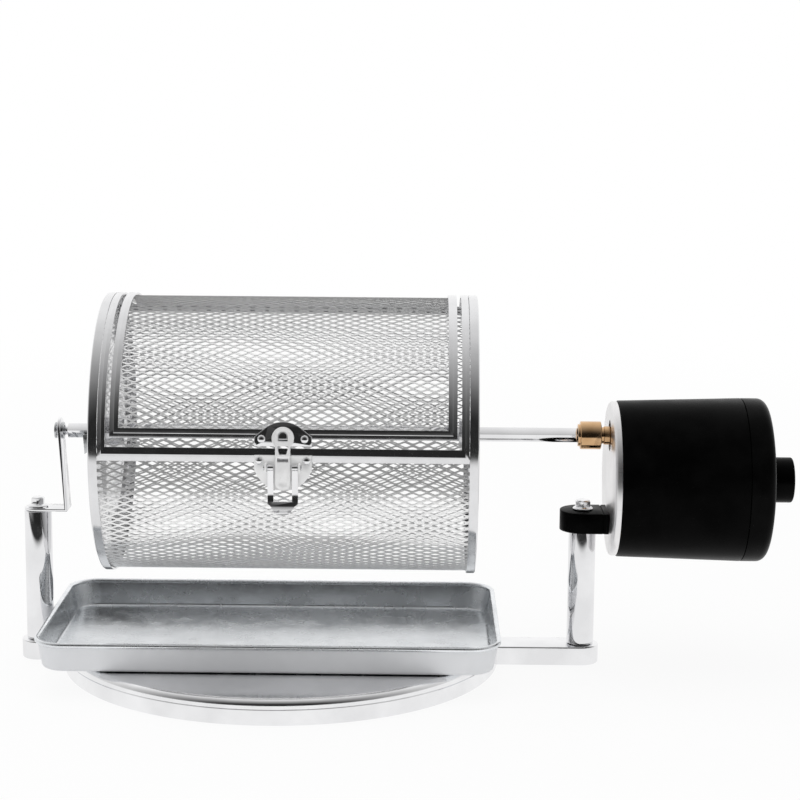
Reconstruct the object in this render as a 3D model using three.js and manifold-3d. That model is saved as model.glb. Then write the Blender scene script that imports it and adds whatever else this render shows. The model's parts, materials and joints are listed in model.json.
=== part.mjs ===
// Electric coffee roaster: a mesh drum on a square rod, turned by a geared motor, over a pan on a round base.
// Millimetres, +Z up, +X along the drum towards the motor, -Y towards the user.
// The origin is on the floor, under the middle of the drum.

import * as THREE from "three";
import { mergeVertices } from "three/addons/utils/BufferGeometryUtils.js";
import Module from "manifold-3d";

const wasm = await Module();
wasm.setup();

// Clearances
const seatGap = 0.3;
const runGap = 0.3;
const pinGap = 0.2;
const overrun = 1;

// Drum
const drumLength = 198.8;
const drumRadius = 75;
const axisHeight = 126.3;
const capSheet = 1;
const capSkirt = 4.8;
const capEdge = 0.6;
const hubRadius = 8;
const hubLength = 8;
const capRibRadius = 46;
const capRibWidth = 6;
const capRibDepth = 1.2;
const meshSheet = 1;
const netAcross = 5;
const bodyNetAround = 7;
const doorNetAround = 3;
const netRib = 8;
const netFacets = 5;
const netEndFacets = 2;
const bandSheet = 1.2;
const bodyBandWidth = 3.9;
const doorBandWidth = 4.5;
const doorSideGap = 2.3;
const bodyBarFrom = degrees(-1.3);
const bodyBarTo = degrees(4.1);
const bodyMeshEdge = degrees(7.2);
const doorBarFrom = degrees(7.8);
const doorBarTo = degrees(11.5);
const doorBackFrom = degrees(113);
const doorBackTo = degrees(118.5);
const hingeAngle = degrees(119.5);
const backBarFrom = degrees(120.1);
const backBarTo = degrees(125.9);

// Door hinges
const hingeFromEnd = 44.4;
const hingeLength = 26;
const hingePinRadius = 0.8;
const knuckleRadius = 1.7;
const leafSheet = 0.8;
const leafReach = 8;
const leafClear = 0.5;
const doorKnuckleShare = 0.38;

// Latch
const latchWidth = 29.2;
const latchSheet = 0.8;
const catchSide = 4.7;
const catchCrown = 17.2;
const catchShoulder = 9.7;
const catchHeight = 12.4;
const catchMiddle = 12.75;
const baseTop = 2.2;
const baseSide = 7.5;
const baseHeight = 18.6;
const baseTangent = -5.3;
const catchRivetX = 10.9;
const catchRivetZ = 10.3;
const baseRivetX = 12;
const baseRivetZ = -0.6;
const rivetRadius = 1.2;
const rivetHeadRadius = 2.2;
const rivetHeadHeight = 1;
const linkSheet = 1;
const linkHeadRadius = 5.65;
const linkHeadZ = 10.9;
const linkWidth = 7.6;
const linkEnd = -15.4;
const linkFoldZ = 8.2;
const linkJogZ = 3;
const hookHoleWidth = 5;
const hookHoleHeight = 4.9;
const hookHoleZ = 11.9;
const neckHoleTop = 7;
const neckHoleBottom = 2.7;
const neckHoleWide = 5.8;
const neckHoleNarrow = 3.6;
const slotWidth = 5.6;
const slotHeight = 2.2;
const leverSheet = 1;
const leverPivotZ = -3.9;
const leverPivotOut = 2.7;
const leverArmInner = 4.7;
const leverArmOuter = 7.7;
const leverArmEnd = -21.6;
const leverEnd = -27.2;
const leverLipOut = 5.5;
const leverEyeRadius = 1.6;
const leverPinRadius = 0.8;
const leverPinHead = 1.4;
const leverPinHeadHeight = 0.6;
const lugSheet = 1;
const lugHalfHeight = 2.4;

// Rod and coupler
const rodSide = 5.5;
const rodTurn = degrees(35);
const journalRadius = 2.5;
const rodStart = 22.1;
const journalEnd = 29.6;
const clipRadius = 4.6;
const clipSheet = 1;
const stopPinOut = 11.6;
const stopPinRadius = 1.5;
const stopTabWidth = 3.9;
const stopTabDepth = 10.8;
const stopTabTop = -1.3;
const stopTabEnd = -12;
const stopTabSlant = 1.6;
const couplerStart = 55.2;
const couplerLength = 12.6;
const couplerRadius = 7.6;
const couplerCollarRadius = 6;
const couplerCollar = 1.2;
const couplerChamfer = 0.9;
const couplerNeckRadius = 5;
const couplerNeckInside = 9;
const rodInCoupler = 9;
const grubRadius = 1.5;

// Base
const leftReach = 39.5;
const rightReach = 58.9;
const barWidth = 20;
const barHeight = 10.3;
const discPostGap = 7.25;
const discPastDrum = 13.7;
const discSheet = 2.7;
const discEdge = 3.5;
const discScrewX = 40;
const discScrewDepth = 2;
const smallScrewRadius = 2;
const postRadius = 7.35;
const screwRadius = 2.5;
const screwHeadRadius = 4.6;
const screwHeadHeight = 2.5;
const screwDepth = 12;
const boltFlangeRadius = 5.5;
const boltFlangeHeight = 1.6;
const boltHexFlats = 8;
const boltHexHeight = 4.4;
const boltDomeHeight = 0.7;
const boltDepth = 12;

// Brackets
const armTopDrop = 41;
const armThickness = 11;
const armWidth = 25;
const socketDepth = 8;
const armFlange = 2.7;
const armGroove = 0.6;
const armGrooveDepth = 0.5;
const armScrewSpacing = 14;
const armScrewDepth = 6;
const armScrewHeadRadius = 3.6;
const armScrewHeadHeight = 2.2;
const bracketSheet = 1.4;
const bracketWidth = 14.4;
const bracketLegIn = 23.2;
const bracketLegLean = 3;
const bushWall = 1;
const bushFlange = 0.6;
const bushFlangeWidth = 0.9;

// Motor unit
const shaftDrop = 23.6;
const faceFromDrum = 72.6;
const faceSheet = 3.8;
const faceRadius = 41.8;
const faceHoleRadius = 8.35;
const housingRadius = 42.3;
const housingFlare = 1.9;
const housingLength = 66.5;
const housingWall = 2;
const capLength = 13.3;
const capFillet = 5;
const caseScrewRadius = 1.5;
const caseScrewHeadRadius = 2.8;
const caseScrewHeadHeight = 1.6;
const caseScrewPlace = 32;
const caseScrewAngles = [degrees(180), degrees(275)];
const gearPlateFromFace = 22;
const gearPlateSheet = 2;
const gearPlateRadius = 36;
const standoffRadius = 3;
const standoffPlace = 31;
const standoffAngles = [degrees(158), degrees(232), degrees(318)];
const canRadius = 15;
const canEndGap = 5.5;
const canBossRadius = 5;
const canChamfer = 1.5;
const motorShaftRadius = 1.2;
const shaftInCan = 8;
const outputShaftRadius = 3;
const idlerAxleRadius = 1.5;
const wheelTeeth = 30;
const pinionTeeth = 12;
const pressureAngle = degrees(20);
const addendumShare = 0.85;
const dedendumShare = 1.1;
const toothShare = 0.43;
const gearWidth = 5;
const gearSideGap = 1;
const gearRimGap = 2.2;
const idlerAngle = degrees(-38.6);
const pinionAngle = degrees(218.6);
const knobRadius = 12.3;
const knobLength = 15.5;
const knobDome = 0.8;
const knobEdge = 1;
const knobWall = 2.6;
const knobRecess = 3.2;
const knobRecessRadius = 6.4;
const knobGripCount = 18;
const knobGripDepth = 0.35;
const potRadius = 8;
const potLength = 9;
const potBushRadius = 3.5;
const potBushLength = 4.6;
const potShaftRadius = 2.4;
const potShaftIn = 5;
const boardWidth = 36;
const boardHeight = 26;
const boardSheet = 1.6;
const jackFromEnd = 15.8;
const jackRadius = 5.5;
const jackFlangeRadius = 7.2;
const jackFlange = 1.6;
const jackDepth = 11;
const jackBoreRadius = 3;
const jackBoreDepth = 9;
const jackWall = 0.8;

// Tray
const trayPostGap = 1.2;
const trayPastDrum = 13.1;
const trayDepth = 136;
const trayCentreY = -12;
const trayHeight = 16.2;
const traySheet = 1;
const trayFlare = 2.2;
const trayFloorRound = 2.5;
const trayCorner = 17;
const trayBead = 1.4;
const trayBeadFrom = degrees(-70);
const trayBeadTurn = degrees(250);

// Facets
const fineSteps = 44;
const roundSteps = 20;
const smallSteps = 10;
const arcSteps = 80;
const cornerSteps = 3;
const weldDistance = 1e-4;

// Places worked out from the sizes above
const drumEnd = drumLength / 2;
const meshOuter = drumRadius - capSheet - seatGap;
const bandInner = meshOuter + seatGap;
const bandOuter = bandInner + bandSheet;
const plateSeat = bandOuter + seatGap;
const bodyBandOuterX = drumEnd - capSkirt - seatGap;
const bodyBandInnerX = bodyBandOuterX - bodyBandWidth;
const doorEnd = bodyBandInnerX - doorSideGap;
const meshEnd = drumEnd - capSheet - seatGap;
const hingeOut = plateSeat + knuckleRadius;
const leftPostX = -(drumEnd + leftReach);
const rightPostX = drumEnd + rightReach;
const armTop = axisHeight - armTopDrop;
const postTop = armTop - armThickness + socketDepth;
const postFoot = barHeight + seatGap;
const discTop = barHeight + seatGap + discSheet;
const discLeft = leftPostX + postRadius + discPostGap;
const discRight = drumEnd + discPastDrum;
const discRadius = (discRight - discLeft) / 2;
const discCentreX = (discLeft + discRight) / 2;
const faceX = drumEnd + faceFromDrum;
const faceInnerX = faceX + faceSheet;
const housingX = faceInnerX + seatGap;
const housingEndX = housingX + housingLength;
const capX = housingEndX + seatGap;
const capEndX = capX + capLength;
const capRadius = housingRadius + housingFlare;
const gearPlateX = faceX + gearPlateFromFace;
const gearPlateEndX = gearPlateX + gearPlateSheet;
const jackX = housingEndX - jackFromEnd;
const motorHeight = axisHeight - shaftDrop;
const gearModule =
  (housingRadius - housingWall - gearRimGap - shaftDrop) / (wheelTeeth / 2 + addendumShare);
const gearDistance = (gearModule * (wheelTeeth + pinionTeeth)) / 2;
const idlerY = gearDistance * Math.cos(idlerAngle);
const idlerZ = shaftDrop + gearDistance * Math.sin(idlerAngle);
const pinionY = idlerY + gearDistance * Math.cos(pinionAngle);
const pinionZ = idlerZ + gearDistance * Math.sin(pinionAngle);
const bigGearX = gearPlateX - gearSideGap - gearWidth;
const smallGearX = bigGearX - gearSideGap - gearWidth;
const knobX = capEndX + seatGap;
const trayFloor = discTop + seatGap;
const trayLeft = leftPostX + postRadius + trayPostGap;
const trayRight = drumEnd + trayPastDrum;
const trayLength = trayRight - trayLeft;
const trayCentreX = (trayLeft + trayRight) / 2;

// Finishes, as colour, roughness and metalness
const finishes = {
  chrome: { color: 0xe6e7e9, roughness: 0.08, metalness: 1 },
  stainless: { color: 0xc9cacc, roughness: 0.28, metalness: 1 },
  brushed: { color: 0xb4b6b9, roughness: 0.34, metalness: 1 },
  trayGrey: { color: 0xa4a9ad, roughness: 0.42, metalness: 0.9 },
  blackCoat: { color: 0x0b0b0c, roughness: 0.5, metalness: 0.1 },
  blackPlastic: { color: 0x070708, roughness: 0.42, metalness: 0 },
  satinAluminium: { color: 0xdcdad8, roughness: 0.38, metalness: 0.8 },
  brass: { color: 0xb98d4f, roughness: 0.3, metalness: 1 },
  steel: { color: 0x8d9094, roughness: 0.35, metalness: 1 },
  greyPlastic: { color: 0x55585b, roughness: 0.5, metalness: 0 },
  gearPlastic: { color: 0xe9e4d6, roughness: 0.5, metalness: 0 },
  boardGreen: { color: 0x1d5b36, roughness: 0.6, metalness: 0 },
};

function degrees(value) {
  return THREE.MathUtils.degToRad(value);
}

// Solids: joining and cutting closed meshes

function toSolid(geometry) {
  const source = geometry.index ? geometry.toNonIndexed() : geometry;
  const bare = new THREE.BufferGeometry();
  bare.setAttribute("position", source.getAttribute("position"));
  const welded = mergeVertices(bare, weldDistance);
  return new wasm.Manifold(
    new wasm.Mesh({
      numProp: 3,
      vertProperties: welded.attributes.position.array,
      triVerts: new Uint32Array(welded.index.array),
    }),
  );
}

function toGeometry(solid) {
  const mesh = solid.getMesh();
  const geometry = new THREE.BufferGeometry();
  const places = new THREE.BufferAttribute(new Float32Array(mesh.vertProperties), 3);
  geometry.setAttribute("position", places);
  geometry.setIndex(new THREE.BufferAttribute(new Uint32Array(mesh.triVerts), 1));
  geometry.computeVertexNormals();
  return geometry;
}

function join(...pieces) {
  return toGeometry(pieces.map(toSolid).reduce((whole, piece) => whole.add(piece)));
}

function cut(piece, ...tools) {
  const solid = toSolid(piece);
  return toGeometry(tools.map(toSolid).reduce((rest, tool) => rest.subtract(tool), solid));
}

function common(piece, other) {
  return toGeometry(toSolid(piece).intersect(toSolid(other)));
}

// Shapes and their directions

function box(fromX, toX, fromY, toY, fromZ, toZ) {
  const block = new THREE.BoxGeometry(toX - fromX, toY - fromY, toZ - fromZ);
  return block.translate((fromX + toX) / 2, (fromY + toY) / 2, (fromZ + toZ) / 2);
}

// A profile of [radius, height] points turned about Z
function turnedUp(profile, steps = roundSteps) {
  const points = profile.map(([radius, height]) => new THREE.Vector2(radius, height));
  return new THREE.LatheGeometry(points, steps).rotateX(Math.PI / 2);
}

// A profile of [radius, place] points turned about X
function turnedAlong(profile, steps = roundSteps) {
  const points = profile.map(([radius, place]) => new THREE.Vector2(radius, place));
  return new THREE.LatheGeometry(points, steps).rotateZ(-Math.PI / 2);
}

function pegAlong(radius, fromX, toX, steps = smallSteps) {
  return turnedAlong([[0, fromX], [radius, fromX], [radius, toX], [0, toX]], steps);
}

function pegUp(radius, fromZ, toZ, steps = smallSteps) {
  return turnedUp([[0, fromZ], [radius, fromZ], [radius, toZ], [0, toZ]], steps);
}

// An arc of a shape gets two facets for each curve segment
function extruded(shape, length, steps) {
  return new THREE.ExtrudeGeometry(shape, {
    depth: length,
    bevelEnabled: false,
    curveSegments: Math.ceil(steps / 2),
  });
}

// A shape drawn on (Y, Z) and run along X
function prismAlong(shape, fromX, toX, steps = smallSteps) {
  const turn = new THREE.Matrix4().makeBasis(
    new THREE.Vector3(0, 1, 0),
    new THREE.Vector3(0, 0, 1),
    new THREE.Vector3(1, 0, 0),
  );
  return extruded(shape, toX - fromX, steps).applyMatrix4(turn).translate(fromX, 0, 0);
}

// A shape drawn on (X, Z), run from the far place to the near one
function prismFront(shape, farY, nearY, steps = smallSteps) {
  const turn = new THREE.Matrix4().makeBasis(
    new THREE.Vector3(1, 0, 0),
    new THREE.Vector3(0, 0, 1),
    new THREE.Vector3(0, -1, 0),
  );
  return extruded(shape, farY - nearY, steps).applyMatrix4(turn).translate(0, farY, 0);
}

function prismUp(shape, fromZ, toZ, steps = smallSteps) {
  return extruded(shape, toZ - fromZ, steps).translate(0, 0, fromZ);
}

// Angles on the drum count from its front, over its top, to its back
function drumPoint(radius, angle) {
  return [-radius * Math.cos(angle), radius * Math.sin(angle)];
}

// A piece drawn flat, its z outwards and its y up the front, laid on the drum at an angle
function layOnDrum(geometry, radius, angle) {
  const [y, z] = drumPoint(radius, angle);
  const place = new THREE.Matrix4().makeBasis(
    new THREE.Vector3(1, 0, 0),
    new THREE.Vector3(0, Math.sin(angle), Math.cos(angle)),
    new THREE.Vector3(0, -Math.cos(angle), Math.sin(angle)),
  );
  return geometry.applyMatrix4(place.setPosition(0, y, z));
}

function arcShape(inner, outer, from, to) {
  const start = Math.PI - to;
  const end = Math.PI - from;
  const shape = new THREE.Shape();
  shape.absarc(0, 0, outer, start, end, false);
  shape.absarc(0, 0, inner, end, start, true);
  shape.closePath();
  return shape;
}

// A curved strip of the drum between two angles and two places along X
function arcStrip(inner, outer, from, to, fromX, toX) {
  const turnShare = (to - from) / (2 * Math.PI);
  const steps = 2 + Math.ceil(arcSteps * turnShare);
  return prismAlong(arcShape(inner, outer, from, to), fromX, toX, steps);
}

// A curved sheet cut from a grid of lines across it and round it, with the cells that are open left out
function openSheet(inner, outer, placesX, angles, open) {
  const places = [];
  const faces = [];
  const cells = [placesX.length - 1, angles.length - 1];
  for (const radius of [outer, inner]) {
    for (const x of placesX) {
      for (const angle of angles) {
        places.push(x, -radius * Math.cos(angle), radius * Math.sin(angle));
      }
    }
  }
  const layer = placesX.length * angles.length;
  const solid = (i, j) => i >= 0 && j >= 0 && i < cells[0] && j < cells[1] && !open(i, j);
  const quad = (a, b, c, d) => faces.push(a, b, c, a, c, d);
  for (let i = 0; i < cells[0]; i += 1) {
    for (let j = 0; j < cells[1]; j += 1) {
      if (!solid(i, j)) continue;
      const corner = (stepX, stepTurn) => (i + stepX) * angles.length + j + stepTurn;
      const ring = [corner(0, 0), corner(1, 0), corner(1, 1), corner(0, 1)];
      quad(...ring);
      quad(...ring.map((place) => place + layer).reverse());
      const beside = [solid(i, j - 1), solid(i + 1, j), solid(i, j + 1), solid(i - 1, j)];
      beside.forEach((filled, side) => {
        const start = ring[side];
        const end = ring[(side + 1) % 4];
        if (!filled) quad(end, start, start + layer, end + layer);
      });
    }
  }
  const geometry = new THREE.BufferGeometry();
  geometry.setAttribute("position", new THREE.Float32BufferAttribute(places, 3));
  geometry.setIndex(faces);
  geometry.computeVertexNormals();
  return geometry;
}

// Lines that leave equal openings between ribs, as places from the first to the last, each with its facets
function netLines(from, to, count, rib, facets) {
  const pitch = (to - from) / count;
  const lines = [];
  for (let opening = 0; opening < count; opening += 1) {
    const start = from + opening * pitch + rib / 2;
    for (let facet = 0; facet <= facets; facet += 1) {
      lines.push(start + ((pitch - rib) * facet) / facets);
    }
  }
  return lines;
}

// A net of the drum: a curved sheet with plain edges and a grid of openings between them
function drumNet(from, to, openFrom, openTo, around, halfLength, openHalf) {
  const ribTurn = netRib / meshOuter;
  const across = netLines(-openHalf, openHalf, netAcross, netRib, 1);
  const round = netLines(openFrom, openTo, around, ribTurn, netFacets);
  const edge = (start, end) =>
    Array.from({ length: netEndFacets }, (_, step) => start + ((end - start) * step) / netEndFacets);
  const last = edge(to, round[round.length - 1]).reverse();
  const angles = [...edge(from, round[0]), ...round, ...last];
  const open = (i, j) => {
    const place = j - netEndFacets;
    const between = place >= 0 && place < round.length - 1;
    return i % 2 === 1 && between && place % (netFacets + 1) !== netFacets;
  };
  const placesX = [-halfLength, ...across, halfLength];
  return openSheet(meshOuter - meshSheet, meshOuter, placesX, angles, open);
}

function polygon(points) {
  return new THREE.Shape(points.map(([x, y]) => new THREE.Vector2(x, y)));
}

function circle(x, y, radius) {
  const shape = new THREE.Shape();
  shape.absarc(x, y, radius, 0, 2 * Math.PI, false);
  return shape;
}

function hexagon(flats) {
  const corner = flats / 2 / Math.cos(Math.PI / 6);
  const points = [];
  for (let side = 0; side < 6; side += 1) {
    const angle = (side * Math.PI) / 3;
    points.push([corner * Math.cos(angle), corner * Math.sin(angle)]);
  }
  return polygon(points);
}

// The outline of a bent sheet, from the line down its middle
function sheetShape(line, thickness) {
  const half = thickness / 2;
  const sides = [[], []];
  line.forEach(([x, y], index) => {
    const [beforeX, beforeY] = line[Math.max(index - 1, 0)];
    const [afterX, afterY] = line[Math.min(index + 1, line.length - 1)];
    const arrive = new THREE.Vector2(x - beforeX, y - beforeY).normalize();
    const leave = new THREE.Vector2(afterX - x, afterY - y).normalize();
    const along = arrive.clone().add(leave).normalize();
    const reference = leave.lengthSq() > 0 ? leave : arrive;
    const reach = half / Math.abs(along.dot(reference));
    sides[0].push([x - along.y * reach, y + along.x * reach]);
    sides[1].push([x + along.y * reach, y - along.x * reach]);
  });
  return polygon([...sides[0], ...sides[1].reverse()]);
}

// A pan or tray: rounded rectangles, one above another, joined ring by ring
function ringShell(rings) {
  const places = [];
  const faces = [];
  const perRing = 4 * (cornerSteps + 1);
  for (const { halfX, halfY, corner, z } of rings) {
    for (let quarter = 0; quarter < 4; quarter += 1) {
      const signX = quarter === 0 || quarter === 3 ? 1 : -1;
      const signY = quarter < 2 ? 1 : -1;
      for (let step = 0; step <= cornerSteps; step += 1) {
        const angle = ((quarter + step / cornerSteps) * Math.PI) / 2;
        const x = signX * (halfX - corner) + corner * Math.cos(angle);
        const y = signY * (halfY - corner) + corner * Math.sin(angle);
        places.push(x, y, z);
      }
    }
  }
  for (let ring = 0; ring < rings.length - 1; ring += 1) {
    for (let index = 0; index < perRing; index += 1) {
      const a = ring * perRing + index;
      const b = ring * perRing + ((index + 1) % perRing);
      faces.push(a, b, b + perRing, a, b + perRing, a + perRing);
    }
  }
  const last = (rings.length - 1) * perRing;
  for (let index = 1; index < perRing - 1; index += 1) {
    faces.push(0, index + 1, index);
    faces.push(last, last + index, last + index + 1);
  }
  const geometry = new THREE.BufferGeometry();
  geometry.setAttribute("position", new THREE.Float32BufferAttribute(places, 3));
  geometry.setIndex(faces);
  return geometry;
}

function addPiece(group, name, geometry, finish) {
  const mesh = new THREE.Mesh(geometry, new THREE.MeshStandardMaterial(finishes[finish]));
  mesh.name = name;
  group.add(mesh);
  return mesh;
}

// Fasteners

function flangeBolt() {
  const flange = turnedUp([
    [0, 0],
    [boltFlangeRadius, 0],
    [boltFlangeRadius, boltFlangeHeight / 3],
    [boltHexFlats / 2, boltFlangeHeight],
    [0, boltFlangeHeight],
  ]);
  const top = boltFlangeHeight + boltHexHeight;
  const hex = prismUp(hexagon(boltHexFlats), boltFlangeHeight / 2, top);
  const crown = turnedUp([
    [0, 0],
    [boltFlangeRadius, 0],
    [boltFlangeRadius, top - boltDomeHeight],
    [boltHexFlats / 2 - boltDomeHeight / 2, top],
    [0, top],
  ]);
  return join(flange, common(hex, crown), pegUp(screwRadius, -boltDepth, overrun));
}

// A countersunk screw seen head down, with its head at the origin's level
function countersunkScrew(radius, headRadius, headHeight, length) {
  return turnedUp(
    [
      [0, 0],
      [headRadius, 0],
      [radius, headHeight],
      [radius, length],
      [0, length],
    ],
    smallSteps,
  );
}

// The hole for a countersunk screw, with a clearance all round
function countersink(radius, headRadius, headHeight, length) {
  return turnedUp(
    [
      [0, -overrun],
      [headRadius + runGap, -overrun],
      [headRadius + runGap, 0],
      [radius + runGap, headHeight],
      [radius + runGap, length],
      [0, length],
    ],
    smallSteps,
  );
}

function rivet(length) {
  return turnedUp(
    [
      [0, -length],
      [rivetRadius, -length],
      [rivetRadius, 0],
      [rivetHeadRadius, 0],
      [rivetHeadRadius * Math.cos(Math.PI / 6), rivetHeadHeight / 2],
      [rivetHeadRadius / 2, rivetHeadHeight],
      [0, rivetHeadHeight],
    ],
    smallSteps,
  );
}

// Base: bar, round pan and posts

const screwSeats = [leftPostX, rightPostX];

function baseBar() {
  const outline = new THREE.Shape();
  const half = barWidth / 2;
  outline.absarc(rightPostX, 0, half, -Math.PI / 2, Math.PI / 2, false);
  outline.absarc(leftPostX, 0, half, Math.PI / 2, (3 * Math.PI) / 2, false);
  outline.closePath();
  const length = barHeight + overrun;
  const big = screwSeats.map((x) =>
    countersink(screwRadius, screwHeadRadius, screwHeadHeight, length).translate(x, 0, 0),
  );
  const small = countersink(smallScrewRadius, screwHeadRadius, screwHeadHeight, length);
  return cut(prismUp(outline, 0, barHeight), ...big, small.translate(discScrewX, 0, 0));
}

function baseDisc() {
  const under = discTop - discSheet;
  const inside = discRadius - discSheet;
  const profile = [
    [0, under],
    [inside, under],
    [inside, 0],
    [discRadius, 0],
    [discRadius, discTop - discEdge],
  ];
  for (let step = 1; step <= cornerSteps; step += 1) {
    const angle = ((step / cornerSteps) * Math.PI) / 2;
    profile.push([
      discRadius - discEdge * (1 - Math.cos(angle)),
      discTop - discEdge * (1 - Math.sin(angle)),
    ]);
  }
  profile.push([0, discTop]);
  const disc = turnedUp(profile, fineSteps).translate(discCentreX, 0, 0);
  const reach = discRadius + Math.abs(discCentreX) + overrun;
  const half = barWidth / 2 + seatGap;
  const notch = box(-reach, reach, -half, half, -overrun, under);
  const bore = pegUp(smallScrewRadius + runGap, 0, under + discScrewDepth + pinGap);
  return cut(disc, notch, bore.translate(discScrewX, 0, 0));
}

function post() {
  const deepest = screwDepth + seatGap;
  const bore = screwRadius + runGap;
  return turnedUp([
    [0, postFoot + deepest],
    [bore, postFoot + deepest],
    [bore, postFoot],
    [postRadius, postFoot],
    [postRadius, postTop],
    [bore, postTop],
    [bore, postTop - boltDepth],
    [0, postTop - boltDepth],
  ]);
}

function buildBase() {
  const base = new THREE.Group();
  addPiece(base, "base_bar", baseBar(), "chrome");
  addPiece(base, "base_disc", baseDisc(), "chrome");
  const sides = ["left", "right"];
  sides.forEach((side, index) => {
    const x = screwSeats[index];
    const screw = countersunkScrew(
      screwRadius,
      screwHeadRadius,
      screwHeadHeight,
      postFoot + screwDepth,
    );
    addPiece(base, `${side}_post`, post(), "chrome").position.set(x, 0, 0);
    addPiece(base, `${side}_post_screw`, screw, "steel").position.set(x, 0, 0);
  });
  const small = countersunkScrew(
    smallScrewRadius,
    screwHeadRadius,
    screwHeadHeight,
    barHeight + seatGap + discScrewDepth,
  );
  addPiece(base, "disc_screw", small, "steel").position.set(discScrewX, 0, 0);
  return base;
}

// Left bracket: a bent strip on the left post, with a bush for the rod

const bracketFoot = postTop + seatGap;
const legFootX = -(drumEnd + bracketLegIn);
const legTopX = legFootX - bracketLegLean;
const legSlope = bracketLegLean / (axisHeight - bracketFoot);

function leftBracket() {
  const half = bracketWidth / 2;
  const middle = bracketFoot + bracketSheet / 2;
  const legEndZ = axisHeight + half;
  const line = [
    [leftPostX - half - overrun, middle],
    [legFootX, middle],
    [legFootX - legSlope * (legEndZ - middle + overrun), legEndZ + overrun],
  ];
  const strip = prismFront(sheetShape(line, bracketSheet), half, -half);
  const flat = new THREE.Shape();
  flat.absarc(leftPostX, 0, half, Math.PI / 2, (3 * Math.PI) / 2, false);
  flat.lineTo(legFootX + half, -half);
  flat.lineTo(legFootX + half, half);
  flat.closePath();
  const face = new THREE.Shape();
  face.absarc(0, axisHeight, half, 0, Math.PI, false);
  face.lineTo(-half, bracketFoot - overrun);
  face.lineTo(half, bracketFoot - overrun);
  face.closePath();
  const trimmed = common(
    common(strip, prismUp(flat, bracketFoot - overrun, legEndZ + 2 * overrun)),
    prismAlong(face, leftPostX - half - overrun, legFootX + half),
  );
  const boltHole = pegUp(screwRadius + runGap, bracketFoot - overrun, bracketFoot + half);
  const bushHole = pegAlong(
    journalRadius + runGap + bushWall + pinGap,
    legTopX - half,
    legTopX + half,
  );
  return cut(trimmed, boltHole.translate(leftPostX, 0, 0), bushHole.translate(0, 0, axisHeight));
}

// A flanged sleeve, its flange on the drum's side of the strip
function rodBush() {
  const bore = journalRadius + runGap;
  const outer = bore + bushWall;
  const sleeve = bracketSheet / 2 + legSlope * outer + seatGap;
  const profile = [
    [bore, -sleeve],
    [outer, -sleeve],
    [outer, sleeve],
    [outer + bushFlangeWidth, sleeve],
    [outer + bushFlangeWidth, sleeve + bushFlange],
    [bore, sleeve + bushFlange],
    [bore, -sleeve],
  ];
  return turnedAlong(profile, smallSteps);
}

function buildLeftBracket() {
  const group = new THREE.Group();
  addPiece(group, "left_bracket", leftBracket(), "chrome");
  addPiece(group, "rod_bush", rodBush(), "steel").position.set(legTopX, 0, axisHeight);
  const boltZ = bracketFoot + bracketSheet + seatGap;
  addPiece(group, "left_bracket_bolt", flangeBolt(), "chrome").position.set(leftPostX, 0, boltZ);
  return group;
}

// Motor arm: a solid arm over the right post, with a flange against the motor's face

function armScrewHeight() {
  return armTop - armThickness / 2;
}

function motorArm() {
  const half = armWidth / 2;
  const bottom = armTop - armThickness;
  const end = faceX - seatGap;
  const flangeX = end - armFlange;
  const outline = new THREE.Shape();
  outline.absarc(rightPostX, 0, half, Math.PI / 2, (3 * Math.PI) / 2, false);
  outline.lineTo(end, -half);
  outline.lineTo(end, half);
  outline.closePath();
  const inset = half - armGrooveDepth;
  const grooveEnd = flangeX + overrun;
  const grooves = [
    box(flangeX - armGroove, flangeX, -grooveEnd, grooveEnd, armTop - armGrooveDepth, grooveEnd),
    box(flangeX - armGroove, flangeX, inset, grooveEnd, bottom - overrun, grooveEnd),
    box(flangeX - armGroove, flangeX, -grooveEnd, -inset, bottom - overrun, grooveEnd),
  ];
  const socket = pegUp(postRadius + seatGap, bottom - overrun, postTop + seatGap, roundSteps);
  const boltHole = pegUp(screwRadius + runGap, bottom, armTop + overrun);
  const screwHoles = [-1, 1].map((side) =>
    pegAlong(smallScrewRadius + runGap, end - armScrewDepth - seatGap, end + overrun).translate(
      0,
      (side * armScrewSpacing) / 2,
      armScrewHeight(),
    ),
  );
  return cut(
    prismUp(outline, bottom, armTop, roundSteps),
    ...grooves,
    socket.translate(rightPostX, 0, 0),
    boltHole.translate(rightPostX, 0, 0),
    ...screwHoles,
  );
}

function armScrew() {
  const start = faceX - seatGap - armScrewDepth;
  const head = faceInnerX + seatGap;
  return turnedAlong(
    [
      [0, start],
      [smallScrewRadius, start],
      [smallScrewRadius, head],
      [armScrewHeadRadius, head],
      [armScrewHeadRadius, head + armScrewHeadHeight],
      [0, head + armScrewHeadHeight],
    ],
    smallSteps,
  );
}

function buildMotorArm() {
  const group = new THREE.Group();
  addPiece(group, "motor_arm", motorArm(), "blackCoat");
  const bolt = addPiece(group, "motor_arm_bolt", flangeBolt(), "chrome");
  bolt.position.set(rightPostX, 0, armTop + seatGap);
  ["front", "back"].forEach((side, index) => {
    const screw = addPiece(group, `${side}_arm_screw`, armScrew(), "steel");
    screw.position.set(0, (index - 1 / 2) * armScrewSpacing, armScrewHeight());
  });
  return group;
}

// Motor unit, drawn about the middle line of its housing

function atAngle(radius, angle) {
  return [radius * Math.cos(angle), radius * Math.sin(angle)];
}

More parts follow.
